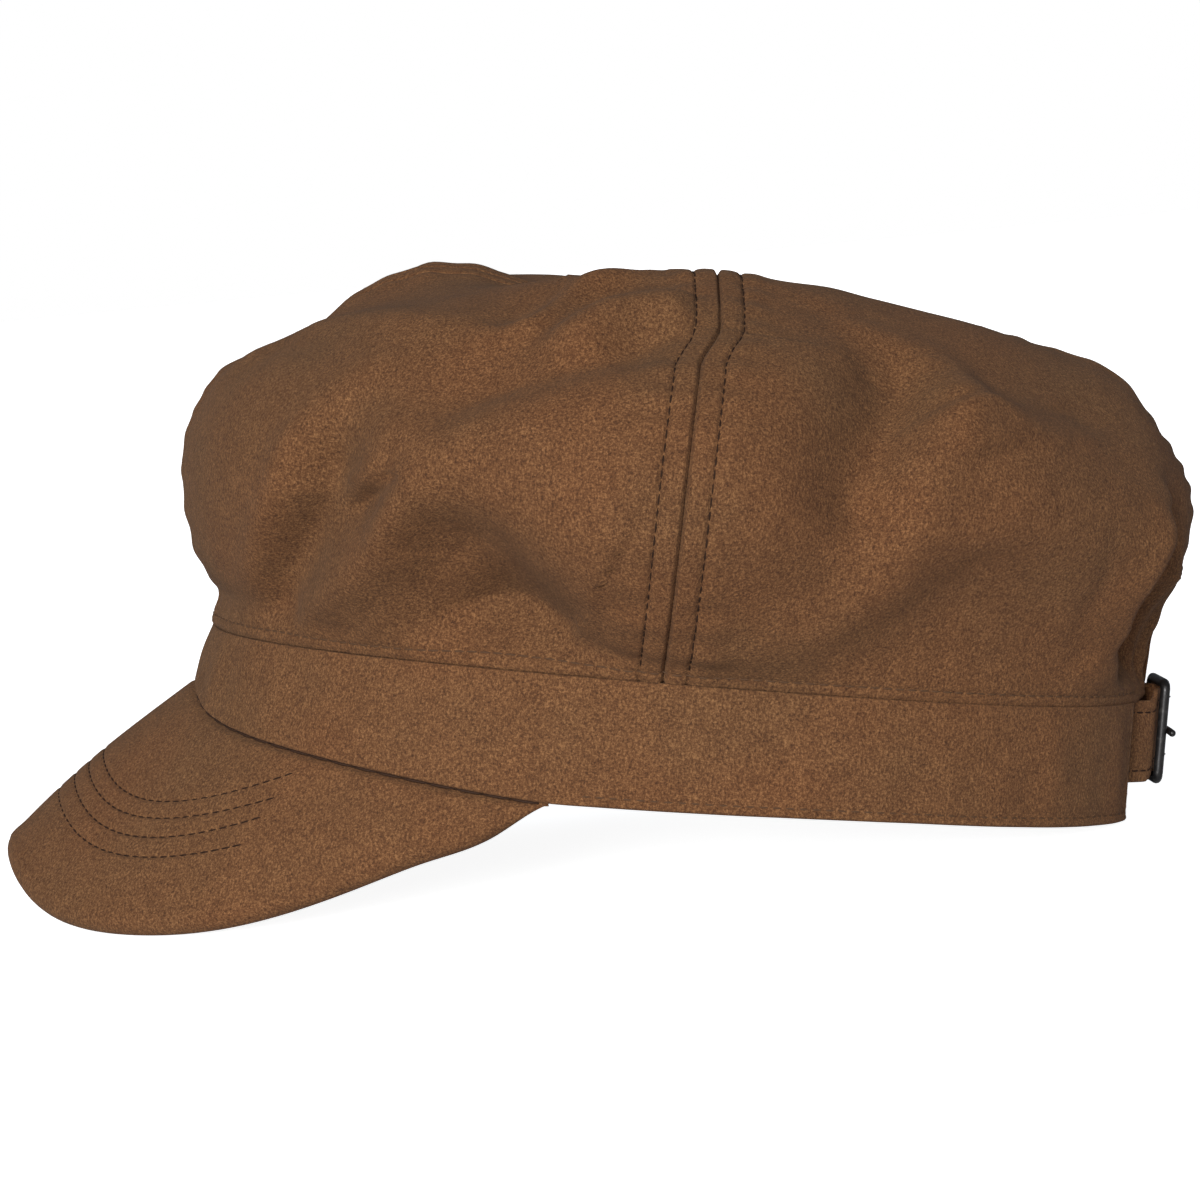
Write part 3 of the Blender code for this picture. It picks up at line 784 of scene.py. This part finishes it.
def cut(piece, low, high):
    """Takes a box out of the piece."""
    low, high = np.array(low) * MM, np.array(high) * MM
    corners = [(x, y, z) for x in (low[0], high[0]) for y in (low[1], high[1]) for z in (low[2], high[2])]
    faces = [(0, 1, 3, 2), (4, 6, 7, 5), (0, 4, 5, 1), (2, 3, 7, 6), (0, 2, 6, 4), (1, 5, 7, 3)]
    mesh = bpy.data.meshes.new("cutter")
    mesh.from_pydata(corners, [], faces)
    cutter = bpy.data.objects.new("cutter", mesh)
    bpy.context.scene.collection.objects.link(cutter)
    modifier = piece.modifiers.new("Slot", "BOOLEAN")
    modifier.object = cutter
    modifier.solver = "EXACT"
    graph = bpy.context.evaluated_depsgraph_get()
    baked = bpy.data.meshes.new_from_object(piece.evaluated_get(graph))
    piece.modifiers.clear()
    piece.data = baked
    bpy.data.objects.remove(cutter)


def straight_up(count):
    return np.tile([0.0, 0.0, 1.0], (count, 1))


def strap(wool, thread):
    x = np.concatenate([
        np.linspace(STRAP_ROOT, 12, 40), np.linspace(11.6, -12, 90), np.linspace(-12.5, -TAIL_END, 70)])
    tip = np.sqrt(np.clip(1 - (1 - np.clip((x + TAIL_END) / 7, 0, 1)) ** 2.4, 0, 1))
    half = STRAP_WIDTH / 2 * (0.12 + 0.88 * tip)
    centre = back_point(x, strap_height(x), long_strap_depth(x))
    made, outward = ribbon("strap_long_cloth", centre, straight_up(len(x)), half, STRAP_THICK,
                           wool, ["strap_long"])
    middle = float(strap_height(np.array(0.0)))
    cut(made, (HEEL_X - 4, HALF_LENGTH - 2, middle - 1.4), (2.5, HALF_LENGTH + 9, middle + 1.4))
    sign = np.sign((outward * centre).sum(axis=1))[:, None]
    face = centre + outward * sign * STRAP_THICK / 2
    lines = []
    keep = x > -TAIL_END + 3.2
    keep &= x < BACK_GAP + 12
    for edge in (-1, 1):
        row = face + (edge * (half - 2.6))[:, None] * np.array([[0, 0, 1.0]])
        lines.append((row[keep], (outward * sign)[keep]))
    stitch_mesh("strap_stitches", lines, thread)

    root = -STRAP_ROOT
    ramp = np.linspace(root, HEEL_X - 2, 60)
    knots = ((HEEL_X - 2, HEEL_DEPTH - LOOP_RADIUS), (-BACK_GAP + 0.5, -2.5), (root, -2.5))
    depth = through(knots, ramp)
    angle = np.linspace(-pi / 2, pi / 2, 25)
    fold_x = HEEL_X + LOOP_RADIUS * np.cos(angle)
    fold_depth = HEEL_DEPTH + LOOP_RADIUS * np.sin(angle)
    end_x = np.linspace(HEEL_X, HEEL_X - 8, 24)[1:]
    end_depth = long_strap_depth(end_x) - STRAP_THICK - 0.3
    x = np.concatenate([ramp, fold_x, end_x])
    depth = np.concatenate([depth, fold_depth, end_depth])
    centre = back_point(x, strap_height(x), depth)
    made = ribbon("strap_tab_cloth", centre, straight_up(len(x)), STRAP_WIDTH / 2, STRAP_THICK,
                  wool, ["strap_tab"])[0]
    middle = float(strap_height(np.array(HEEL_X)))
    cut(made, (HEEL_X - 3.6, HALF_LENGTH - 4, middle - 1.4), (HEEL_X + 5, HALF_LENGTH + 9, middle + 1.4))

    leg = STRAP_WIDTH / 2 + 0.9
    low, high = 0.8, STRAP_THICK + 1.5
    corner = 0.8
    path = [(-leg, low)]
    for quarter, (cz, cd) in enumerate(((-leg + corner, high - corner), (leg - corner, high - corner))):
        for a in np.linspace(0, pi / 2, 6):
            if quarter == 0:
                path.append((cz - corner * cos(a), cd + corner * sin(a)))
            else:
                path.append((cz + corner * sin(a), cd + corner * cos(a)))
        if quarter == 0:
            path += [(z, high) for z in np.linspace(-leg + 2, leg - 2, 12)]
    path.append((leg, low))
    path = np.array(path)
    at = -31.0
    centre = back_point(np.full(len(path), at), float(strap_height(np.array(at))) + path[:, 0], path[:, 1])
    near = back_point(np.array([at - 1, at + 1]), 0, 0)
    along = (near[1] - near[0]) / np.linalg.norm(near[1] - near[0])
    ribbon("tail_loop_cloth", centre, np.tile(along, (len(path), 1)), 4.0, 1.0,
           wool, ["tail_loop"])


def tube(name, path, radius, material, body, closed=False, sides=14, nodes=()):
    """A round wire along the path, with domed ends unless it is closed."""
    path = np.asarray(path, float)
    if closed:
        tangent = np.roll(path, -1, axis=0) - np.roll(path, 1, axis=0)
    else:
        tangent = np.gradient(path, axis=0)
    tangent /= np.linalg.norm(tangent, axis=1, keepdims=True)
    reference = np.array([0.31, 0.2, 0.93]) if closed else np.array([0, 0, 1.0])
    first = np.cross(tangent, reference)
    first /= np.linalg.norm(first, axis=1, keepdims=True)
    for index in range(1, len(path)):
        if (first[index] * first[index - 1]).sum() < 0:
            first[index] *= -1
    second = np.cross(tangent, first)
    size = np.full(len(path), radius)
    if not closed:
        dome = np.array([0.35, 0.72, 0.93])
        path = np.vstack([path[:1] - tangent[:1] * radius * np.array([[0.95], [0.7], [0.37]]), path,
                          path[-1:] + tangent[-1:] * radius * np.array([[0.37], [0.7], [0.95]])])
        first = np.vstack([np.repeat(first[:1], 3, axis=0), first, np.repeat(first[-1:], 3, axis=0)])
        second = np.vstack([np.repeat(second[:1], 3, axis=0), second, np.repeat(second[-1:], 3, axis=0)])
        size = np.concatenate([radius * dome, size, radius * dome[::-1]])
    angle = np.linspace(0, 2 * pi, sides, endpoint=False)
    ring = np.cos(angle)[None, :, None] * first[:, None] + np.sin(angle)[None, :, None] * second[:, None]
    points = path[:, None] + ring * size[:, None, None]
    rows = len(path)
    faces = grid_faces(rows, sides, closed=True)
    if closed:
        last = (rows - 1) * sides
        faces += [(last + k, last + (k + 1) % sides, (k + 1) % sides, k) for k in range(sides)]
    else:
        faces += end_caps(rows, sides)
    made = to_object(name, points.reshape(-1, 3), faces, material, body)
    if nodes:
        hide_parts(*nodes)
    return made


def buckle(metal):
    middle = float(strap_height(np.array(HEEL_X)))
    heel = back_point(np.array([HEEL_X]), middle, HEEL_DEPTH)[0]
    outer = back_point(np.array([OUTER_X]), middle, OUTER_DEPTH)[0]
    reach = outer - heel
    length = np.linalg.norm(reach)
    outward = reach / length
    up = np.array([0, 0, 1.0])
    normal = np.cross(up, outward)
    half, corner = FRAME_HALF, FRAME_CORNER
    path = []
    corners = ((0, -half), (length, -half), (length, half), (0, half))
    for index, (along, height) in enumerate(corners):
        start = -pi + index * pi / 2
        centre_along = along + corner * (1 if along == 0 else -1)
        centre_height = height + corner * (1 if height < 0 else -1)
        for angle in np.linspace(start, start + pi / 2, 9):
            path.append(heel + outward * (centre_along + corner * cos(angle))
                        + up * (centre_height + corner * sin(angle)))
        following = corners[(index + 1) % 4]
        for share in np.linspace(0.12, 0.88, 8):
            place = np.array([along, height]) * (1 - share) + np.array(following) * share
            place[0] = np.clip(place[0], 0, length)
            path.append(heel + outward * place[0] + up * place[1])
    path = np.array(path)
    tube("buckle_frame_wire", path, WIRE, metal, "buckle_frame", closed=True,
         nodes=["buckle_frame"])
    ring = WIRE + 0.3 + PRONG_WIRE
    prong = []
    for angle in np.linspace(-pi / 4, -pi / 4 - 5 * pi / 4, 30):
        prong.append(heel + (outward * cos(angle) + normal * sin(angle)) * ring)
    start = prong[-1]
    tip = heel + reach + outward * 1.6 + normal * (WIRE + PRONG_WIRE + 0.15)
    for share in np.linspace(0, 1, 18)[1:]:
        prong.append(start * (1 - share) + tip * share + normal * 0.25 * sin(pi * share))
    tube("buckle_prong_wire", prong, PRONG_WIRE, metal, "buckle_prong",
         nodes=["buckle_prong"])


# ---- inside and button


def lining(material):
    """Satin panels that follow the crown from inside, with small drag lines of their own."""
    shares = np.linspace(0, 1, 70)
    climbs = np.linspace(0.012, 0.985, 90)
    for name, seam in zip(PANELS, SEAMS):
        share, climb = np.meshgrid(shares, climbs)
        turn = seam + 90 * share
        pulled = turn + lean(turn, climb)
        place = outline(pulled, climb)
        scale = mm_per_degree(pulled, climb)
        rise = draped_rise(pulled, climb, place, scale)
        along = climb * CLIMB_LENGTH
        drag = 0.55 * np.sin(share * 17 + 2.4 * np.sin(along / 21)) * np.sin(along / 13 + 1.7 * share)
        seam_dent = 0.9 * bump(min_gap(turn, scale), 1.0)
        inward = 4.2 - rise + drag * smooth(climb / 0.1) + seam_dent
        points = place - normals(pulled, climb) * inward[..., None]
        made = cloth("lining_" + name, points, 0.5, material, ["lining_panel_" + name])


INNER_TOP = 26.9
SWEATBAND_LOW, SWEATBAND_INSET, SWEATBAND_THICK = 0.6, 3.4, 1.1
LABEL_INSET, LABEL_THICK = 4.95, 0.45


def no_relief(turn, height):
    return 0 * turn


def ring_strip(name, start, end, low, high, inset, thick, material, nodes, stations, relief):
    """A strip round the inside of the head opening; relief pushes its inner face inwards."""
    section = rounded_section(high - low, thick, 24)

    def point(turn, v, w):
        share = v / (high - low)
        bottom = low + lower_edge(turn)
        height = bottom + share * (high - bottom)
        return band_point(turn, height, inset + w + relief(turn, height) * (w > thick / 2))

    return swept(name, point, np.linspace(start, end, stations), section, material, nodes)


def inner_band(cotton, elastic, label, thread):
    end = float(back_turn(STRAP_ROOT)) - 1.0

    def cotton_relief(turn, height):
        return 0.25 * bump(height - 14, 8) * np.sin(np.radians(turn) * 31 + height * 0.2)

    def ribs(turn, height):
        gather = 0.5 * np.sin(np.radians(turn) * 95) + 0.25 * np.sin(np.radians(turn) * 143 + 1)
        return gather * (0.4 + 0.6 * bump(height - 14, 9))

    ring_strip("sweatband_cloth", -end, end, SWEATBAND_LOW, INNER_TOP, SWEATBAND_INSET, SWEATBAND_THICK,
               cotton, ["sweatband"], 460, cotton_relief)
    ring_strip("back_elastic_web", end + 0.4, 360 - end - 0.4, SWEATBAND_LOW, INNER_TOP, SWEATBAND_INSET,
               SWEATBAND_THICK, elastic, ["back_elastic"], 260, ribs)
    ring_strip("size_label_cloth", 134, 150, 6.0, 24.0, LABEL_INSET, LABEL_THICK,
               label, ["size_label"], 24, no_relief)
    lines = []
    for height in (2.4, 24.6):
        turns = np.linspace(-end + 1, end - 1, 900)
        bottom = lower_edge(turns)
        heights = bottom + height * (INNER_TOP - bottom) / INNER_TOP
        lines.append((band_point(turns, heights, SWEATBAND_INSET + SWEATBAND_THICK), radial(turns, -1.0)))
    for turn in (134.8, 149.2):
        heights = np.linspace(7, 23, 30)
        turns = np.full(30, turn)
        lines.append((band_point(turns, heights, LABEL_INSET + LABEL_THICK), radial(turns, -1.0)))
    stitch_mesh("sweatband_stitches", lines, thread)


def button(material):
    """The cloth-covered button, gathered under its rim."""
    low, high = BUTTON_LOW[2], BUTTON_HIGH[2]
    radius = BUTTON_HIGH[0]
    profile = [
        (5.0, low - 2.6), (7.2, low - 1.4), (8.1, low - 0.4),
        (radius, low + 1.0), (radius * 0.985, low + 2.0)]
    for angle in np.linspace(0.35, pi / 2, 12):
        profile.append((radius * cos(angle) ** 0.7, low + 1.0 + (high - low - 1.0) * sin(angle)))
    profile = np.array(profile)
    turns = np.linspace(0, 2 * pi, 96, endpoint=False)
    height_share = (profile[:, 1] - low) / (high - low)
    gather = np.clip(0.55 - height_share, 0, 1) * 0.55
    girth = profile[:, 0][:, None] + gather[:, None] * np.sin(turns * 19)[None]
    climb = np.repeat(profile[:, 1][:, None], 96, axis=1)
    points = np.stack([girth * np.cos(turns), girth * np.sin(turns), climb], axis=-1)
    rows = len(profile)
    faces = grid_faces(rows, 96, closed=True)
    made = to_object("crown_button_cloth", points.reshape(-1, 3), faces, material)
    shell = made.modifiers.new("Thickness", "SOLIDIFY")
    shell.thickness = 0.8 * MM
    shell.offset = -1
    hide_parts("crown_button_cover")


# ---- materials


def shader(name, colour, roughness, metallic=0.0):
    material = bpy.data.materials.new(name)
    material.use_nodes = True
    principled = material.node_tree.nodes["Principled BSDF"]
    principled.inputs["Base Color"].default_value = (*colour, 1)
    principled.inputs["Roughness"].default_value = roughness
    principled.inputs["Metallic"].default_value = metallic
    return material, material.node_tree, principled


def node(tree, kind, **settings):
    made = tree.nodes.new("ShaderNode" + kind)
    for key, value in settings.items():
        if key in made.inputs:
            made.inputs[key].default_value = value
        else:
            setattr(made, key, value)
    return made


def noise(tree, place, size, detail=3.0, roughness=0.6, stretch=(1, 1, 1)):
    """Noise whose grain is about size millimetres."""
    mapping = node(tree, "Mapping")
    mapping.inputs["Scale"].default_value = [s / (size * MM) for s in stretch]
    tree.links.new(place.outputs["Object"], mapping.inputs["Vector"])
    made = node(tree, "TexNoise", Scale=1.0, Detail=detail, Roughness=roughness)
    tree.links.new(mapping.outputs["Vector"], made.inputs["Vector"])
    return made.outputs["Fac"]


def ramp(tree, factor, stops):
    made = node(tree, "ValToRGB")
    band = made.color_ramp
    band.elements[0].position, band.elements[0].color = stops[0][0], (*stops[0][1], 1)
    band.elements[1].position, band.elements[1].color = stops[-1][0], (*stops[-1][1], 1)
    for place, colour in stops[1:-1]:
        band.elements.new(place).color = (*colour, 1)
    tree.links.new(factor, made.inputs["Fac"])
    return made.outputs["Color"]


def mix(tree, kind, factor, first, second):
    made = node(tree, "Mix", data_type="RGBA", blend_type=kind)
    for socket, value in ((made.inputs[0], factor), (made.inputs[6], first), (made.inputs[7], second)):
        if isinstance(value, bpy.types.NodeSocket):
            tree.links.new(value, socket)
        else:
            socket.default_value = value
    return made.outputs[2]


def relief(tree, principled, height, distance, strength=1.0, under=None):
    made = node(tree, "Bump", Strength=strength, Distance=distance * MM)
    tree.links.new(height, made.inputs["Height"])
    if under:
        tree.links.new(under, made.inputs["Normal"])
    tree.links.new(made.outputs["Normal"], principled.inputs["Normal"])
    return made.outputs["Normal"]


def wool(name, brightness=1.0):
    """Brushed melton: a melange of golden and dark brown fibres under a short nap."""
    material, tree, principled = shader(name, (0.18, 0.085, 0.04), 0.95)
    place = node(tree, "TexCoord")
    fibre = noise(tree, place, 0.42, 4, 0.85, (1, 0.6, 1))
    cross = noise(tree, place, 0.46, 4, 0.85, (1, 1, 0.55))
    blend = mix(tree, "MIX", 0.5, fibre, cross)
    dark = [c * brightness for c in (0.028, 0.0115, 0.0062)]
    middle = [c * brightness for c in (0.094, 0.0405, 0.0162)]
    light = [c * brightness for c in (0.220, 0.108, 0.044)]
    colour = ramp(tree, blend, ((0.38, dark), (0.5, middle), (0.63, light)))
    mottle = noise(tree, place, 5.0, 3, 0.6)
    mottle = ramp(tree, mottle, ((0.3, (0.90, 0.89, 0.89)), (0.7, (1.09, 1.10, 1.10))))
    colour = mix(tree, "MULTIPLY", 1.0, colour, mottle)
    drift = noise(tree, place, 38.0, 2, 0.5)
    drift = ramp(tree, drift, ((0.35, (1.03, 0.99, 0.97)), (0.65, (0.97, 1.01, 1.03))))
    colour = mix(tree, "MULTIPLY", 1.0, colour, drift)
    tree.links.new(colour, principled.inputs["Base Color"])
    principled.inputs["Sheen Weight"].default_value = 0.04
    principled.inputs["Sheen Roughness"].default_value = 0.6
    principled.inputs["Sheen Tint"].default_value = (0.75, 0.5, 0.32, 1)
    principled.inputs["Specular IOR Level"].default_value = 0.15
    coarse = relief(tree, principled, noise(tree, place, 2.2, 3, 0.6), 0.30, 0.7)
    relief(tree, principled, blend, 0.22, 0.8, coarse)
    return material


def plain_thread(name, colour):
    material, tree, principled = shader(name, colour, 0.8)
    principled.inputs["Specular IOR Level"].default_value = 0.1
    place = node(tree, "TexCoord")
    relief(tree, principled, noise(tree, place, 0.25, 2, 0.5), 0.08)
    return material


def satin():
    material, tree, principled = shader("satin_lining", (0.045, 0.032, 0.026), 0.38)
    place = node(tree, "TexCoord")
    weave = noise(tree, place, 0.35, 2, 0.5, (1, 1, 0.15))
    tint = noise(tree, place, 14.0, 3)
    tint = ramp(tree, tint, ((0.3, (0.036, 0.025, 0.020)), (0.7, (0.056, 0.040, 0.032))))
    tree.links.new(tint, principled.inputs["Base Color"])
    relief(tree, principled, weave, 0.05, 0.6)
    return material


def twill():
    material, tree, principled = shader("cotton_twill", (0.05, 0.042, 0.036), 0.9)
    place = node(tree, "TexCoord")
    mapping = node(tree, "Mapping")
    mapping.inputs["Rotation"].default_value = (0.0, radians(38), radians(38))
    tree.links.new(place.outputs["Object"], mapping.inputs["Vector"])
    ribs = node(tree, "TexWave", Scale=420.0, Distortion=1.2, Detail=1.0)
    tree.links.new(mapping.outputs["Vector"], ribs.inputs["Vector"])
    tint = ramp(tree, ribs.outputs["Fac"], ((0.2, (0.030, 0.025, 0.022)), (0.8, (0.066, 0.056, 0.048))))
    tree.links.new(tint, principled.inputs["Base Color"])
    relief(tree, principled, ribs.outputs["Fac"], 0.12, 0.8)
    return material


def webbing():
    material, tree, principled = shader("elastic_black", (0.012, 0.012, 0.013), 0.8)
    place = node(tree, "TexCoord")
    mapping = node(tree, "Mapping")
    mapping.inputs["Rotation"].default_value = (0.0, radians(90), 0.0)
    tree.links.new(place.outputs["Object"], mapping.inputs["Vector"])
    lines = node(tree, "TexWave", Scale=300.0, Distortion=0.6, Detail=1.0)
    tree.links.new(mapping.outputs["Vector"], lines.inputs["Vector"])
    relief(tree, principled, lines.outputs["Fac"], 0.2, 0.9)
    return material


def woven_label():
    material, tree, principled = shader("label_cloth", (0.74, 0.71, 0.64), 0.6)
    place = node(tree, "TexCoord")
    relief(tree, principled, noise(tree, place, 0.4, 2, 0.5, (1, 1, 3)), 0.08)
    return material


def black_metal():
    material, tree, principled = shader("metal_black", (0.018, 0.017, 0.017), 0.38, 0.6)
    place = node(tree, "TexCoord")
    worn = noise(tree, place, 1.4, 4, 0.7)
    worn = ramp(tree, worn, ((0.52, (0.016, 0.015, 0.015)), (0.72, (0.06, 0.055, 0.05))))
    tree.links.new(worn, principled.inputs["Base Color"])
    relief(tree, principled, noise(tree, place, 0.8, 3), 0.03, 0.5)
    return material


# ---- stage


def sun(name, place, power, spread):
    data = bpy.data.lights.new(name, "SUN")
    data.energy = power
    data.angle = radians(spread)
    made = bpy.data.objects.new(name, data)
    made.rotation_euler = (-Vector(place)).to_track_quat("-Z", "Y").to_euler()
    bpy.context.scene.collection.objects.link(made)


def resting_slope(heel_y, heel_z):
    """The slope of the surface that the band's back and the visor's lowest edge both touch."""
    visor = bpy.data.objects["visor_top_cloth"].data
    points = np.empty(len(visor.vertices) * 3)
    visor.vertices.foreach_get("co", points)
    points = points.reshape(-1, 3)
    return ((heel_z - points[:, 2]) / (heel_y - points[:, 1])).max()


def stage():
    heel_y, heel_z = (HALF_LENGTH - 3.5) * MM, BACK_LIFT * MM
    slope = resting_slope(heel_y, heel_z)
    side = 6.0
    rise = slope * side
    corners = [(-side, -side, -rise), (side, -side, -rise), (side, side, rise), (-side, side, rise)]
    mesh = bpy.data.meshes.new("floor")
    mesh.from_pydata(corners, [], [(0, 1, 2, 3)])
    floor = bpy.data.objects.new("floor", mesh)
    floor.location = (0, 0, heel_z - slope * heel_y - 0.0003)
    material, tree, principled = shader("floor_white", (0.9, 0.9, 0.9), 0.9)
    principled.inputs["Emission Color"].default_value = (1, 1, 1, 1)
    eye = node(tree, "LightPath")
    glow = node(tree, "Math", operation="MULTIPLY")
    glow.inputs[1].default_value = 0.92
    tree.links.new(eye.outputs["Is Camera Ray"], glow.inputs[0])
    tree.links.new(glow.outputs[0], principled.inputs["Emission Strength"])
    face = node(tree, "NewGeometry")
    clear = node(tree, "BsdfTransparent")
    one_sided = node(tree, "MixShader")
    tree.links.new(face.outputs["Backfacing"], one_sided.inputs[0])
    tree.links.new(principled.outputs[0], one_sided.inputs[1])
    tree.links.new(clear.outputs[0], one_sided.inputs[2])
    tree.links.new(one_sided.outputs[0], tree.nodes["Material Output"].inputs["Surface"])
    mesh.materials.append(material)
    bpy.context.scene.collection.objects.link(floor)
    world = bpy.data.worlds.new("studio")
    world.use_nodes = True
    tree = world.node_tree
    dim = tree.nodes["Background"]
    dim.inputs["Color"].default_value = (0.86, 0.93, 1.06, 1)
    dim.inputs["Strength"].default_value = 0.18
    white = node(tree, "Background")
    white.inputs["Color"].default_value = (1, 1, 1, 1)
    white.inputs["Strength"].default_value = 1.0
    seen = node(tree, "LightPath")
    chosen = node(tree, "MixShader")
    tree.links.new(seen.outputs["Is Camera Ray"], chosen.inputs[0])
    tree.links.new(dim.outputs[0], chosen.inputs[1])
    tree.links.new(white.outputs[0], chosen.inputs[2])
    tree.links.new(chosen.outputs[0], tree.nodes["World Output"].inputs["Surface"])
    bpy.context.scene.world = world
    sun("key", (0.95, -0.26, 0.22), 4.9, 20)
    sun("front", (1.0, 0.30, 0.12), 0.7, 45)
    bpy.context.scene.view_settings.view_transform = "Standard"


def hidden_layers():
    """The stiff layers between the cloths."""
    buckram = shader("buckram_plain", (0.70, 0.68, 0.62), 0.9)[0]
    board = shader("visor_board_plain", (0.75, 0.75, 0.73), 0.55)[0]
    tin = shader("tin_plain", (0.60, 0.60, 0.58), 0.35, 1.0)[0]
    end = float(back_turn(STRAP_ROOT)) - 1.0
    ring_strip("band_stiffener_layer", -end, end, 3.8, INNER_TOP, 2.0, 1.0,
               buckram, ["band_stiffener"], 200, no_relief)
    u, v = np.meshgrid(0.9 * np.sin(np.linspace(-pi / 2, pi / 2, 120)), np.linspace(0.07, 1, 40))
    reach = visor_length(u)
    out = v * (1 - np.minimum(3.6, 0.45 * reach) / reach)
    board_face = visor_point(u, out, 2.2)
    cloth("visor_board_layer", board_face, 1.6, board, ["visor_board"], flip=True)
    shell = bpy.data.objects["crown_button_shell"]
    shell.data.materials.clear()
    shell.data.materials.append(tin)


def main():
    wool_crown = wool("wool_crown", 0.95)
    wool_band = wool("wool_band", 0.98)
    thread = plain_thread("thread_dark", (0.020, 0.010, 0.006))
    camera()
    crown_panels(wool_crown)
    soft_thread = plain_thread("thread_brown", (0.068, 0.036, 0.019))
    crown_stitches(thread, soft_thread)
    button(wool_crown)
    band(wool_band, soft_thread)
    visor(wool_band, thread)
    strap(wool_band, thread)
    buckle(black_metal())
    lining(satin())
    inner_band(twill(), webbing(), woven_label(), plain_thread("thread_sweatband", (0.12, 0.10, 0.085)))
    hidden_layers()
    stage()


main()
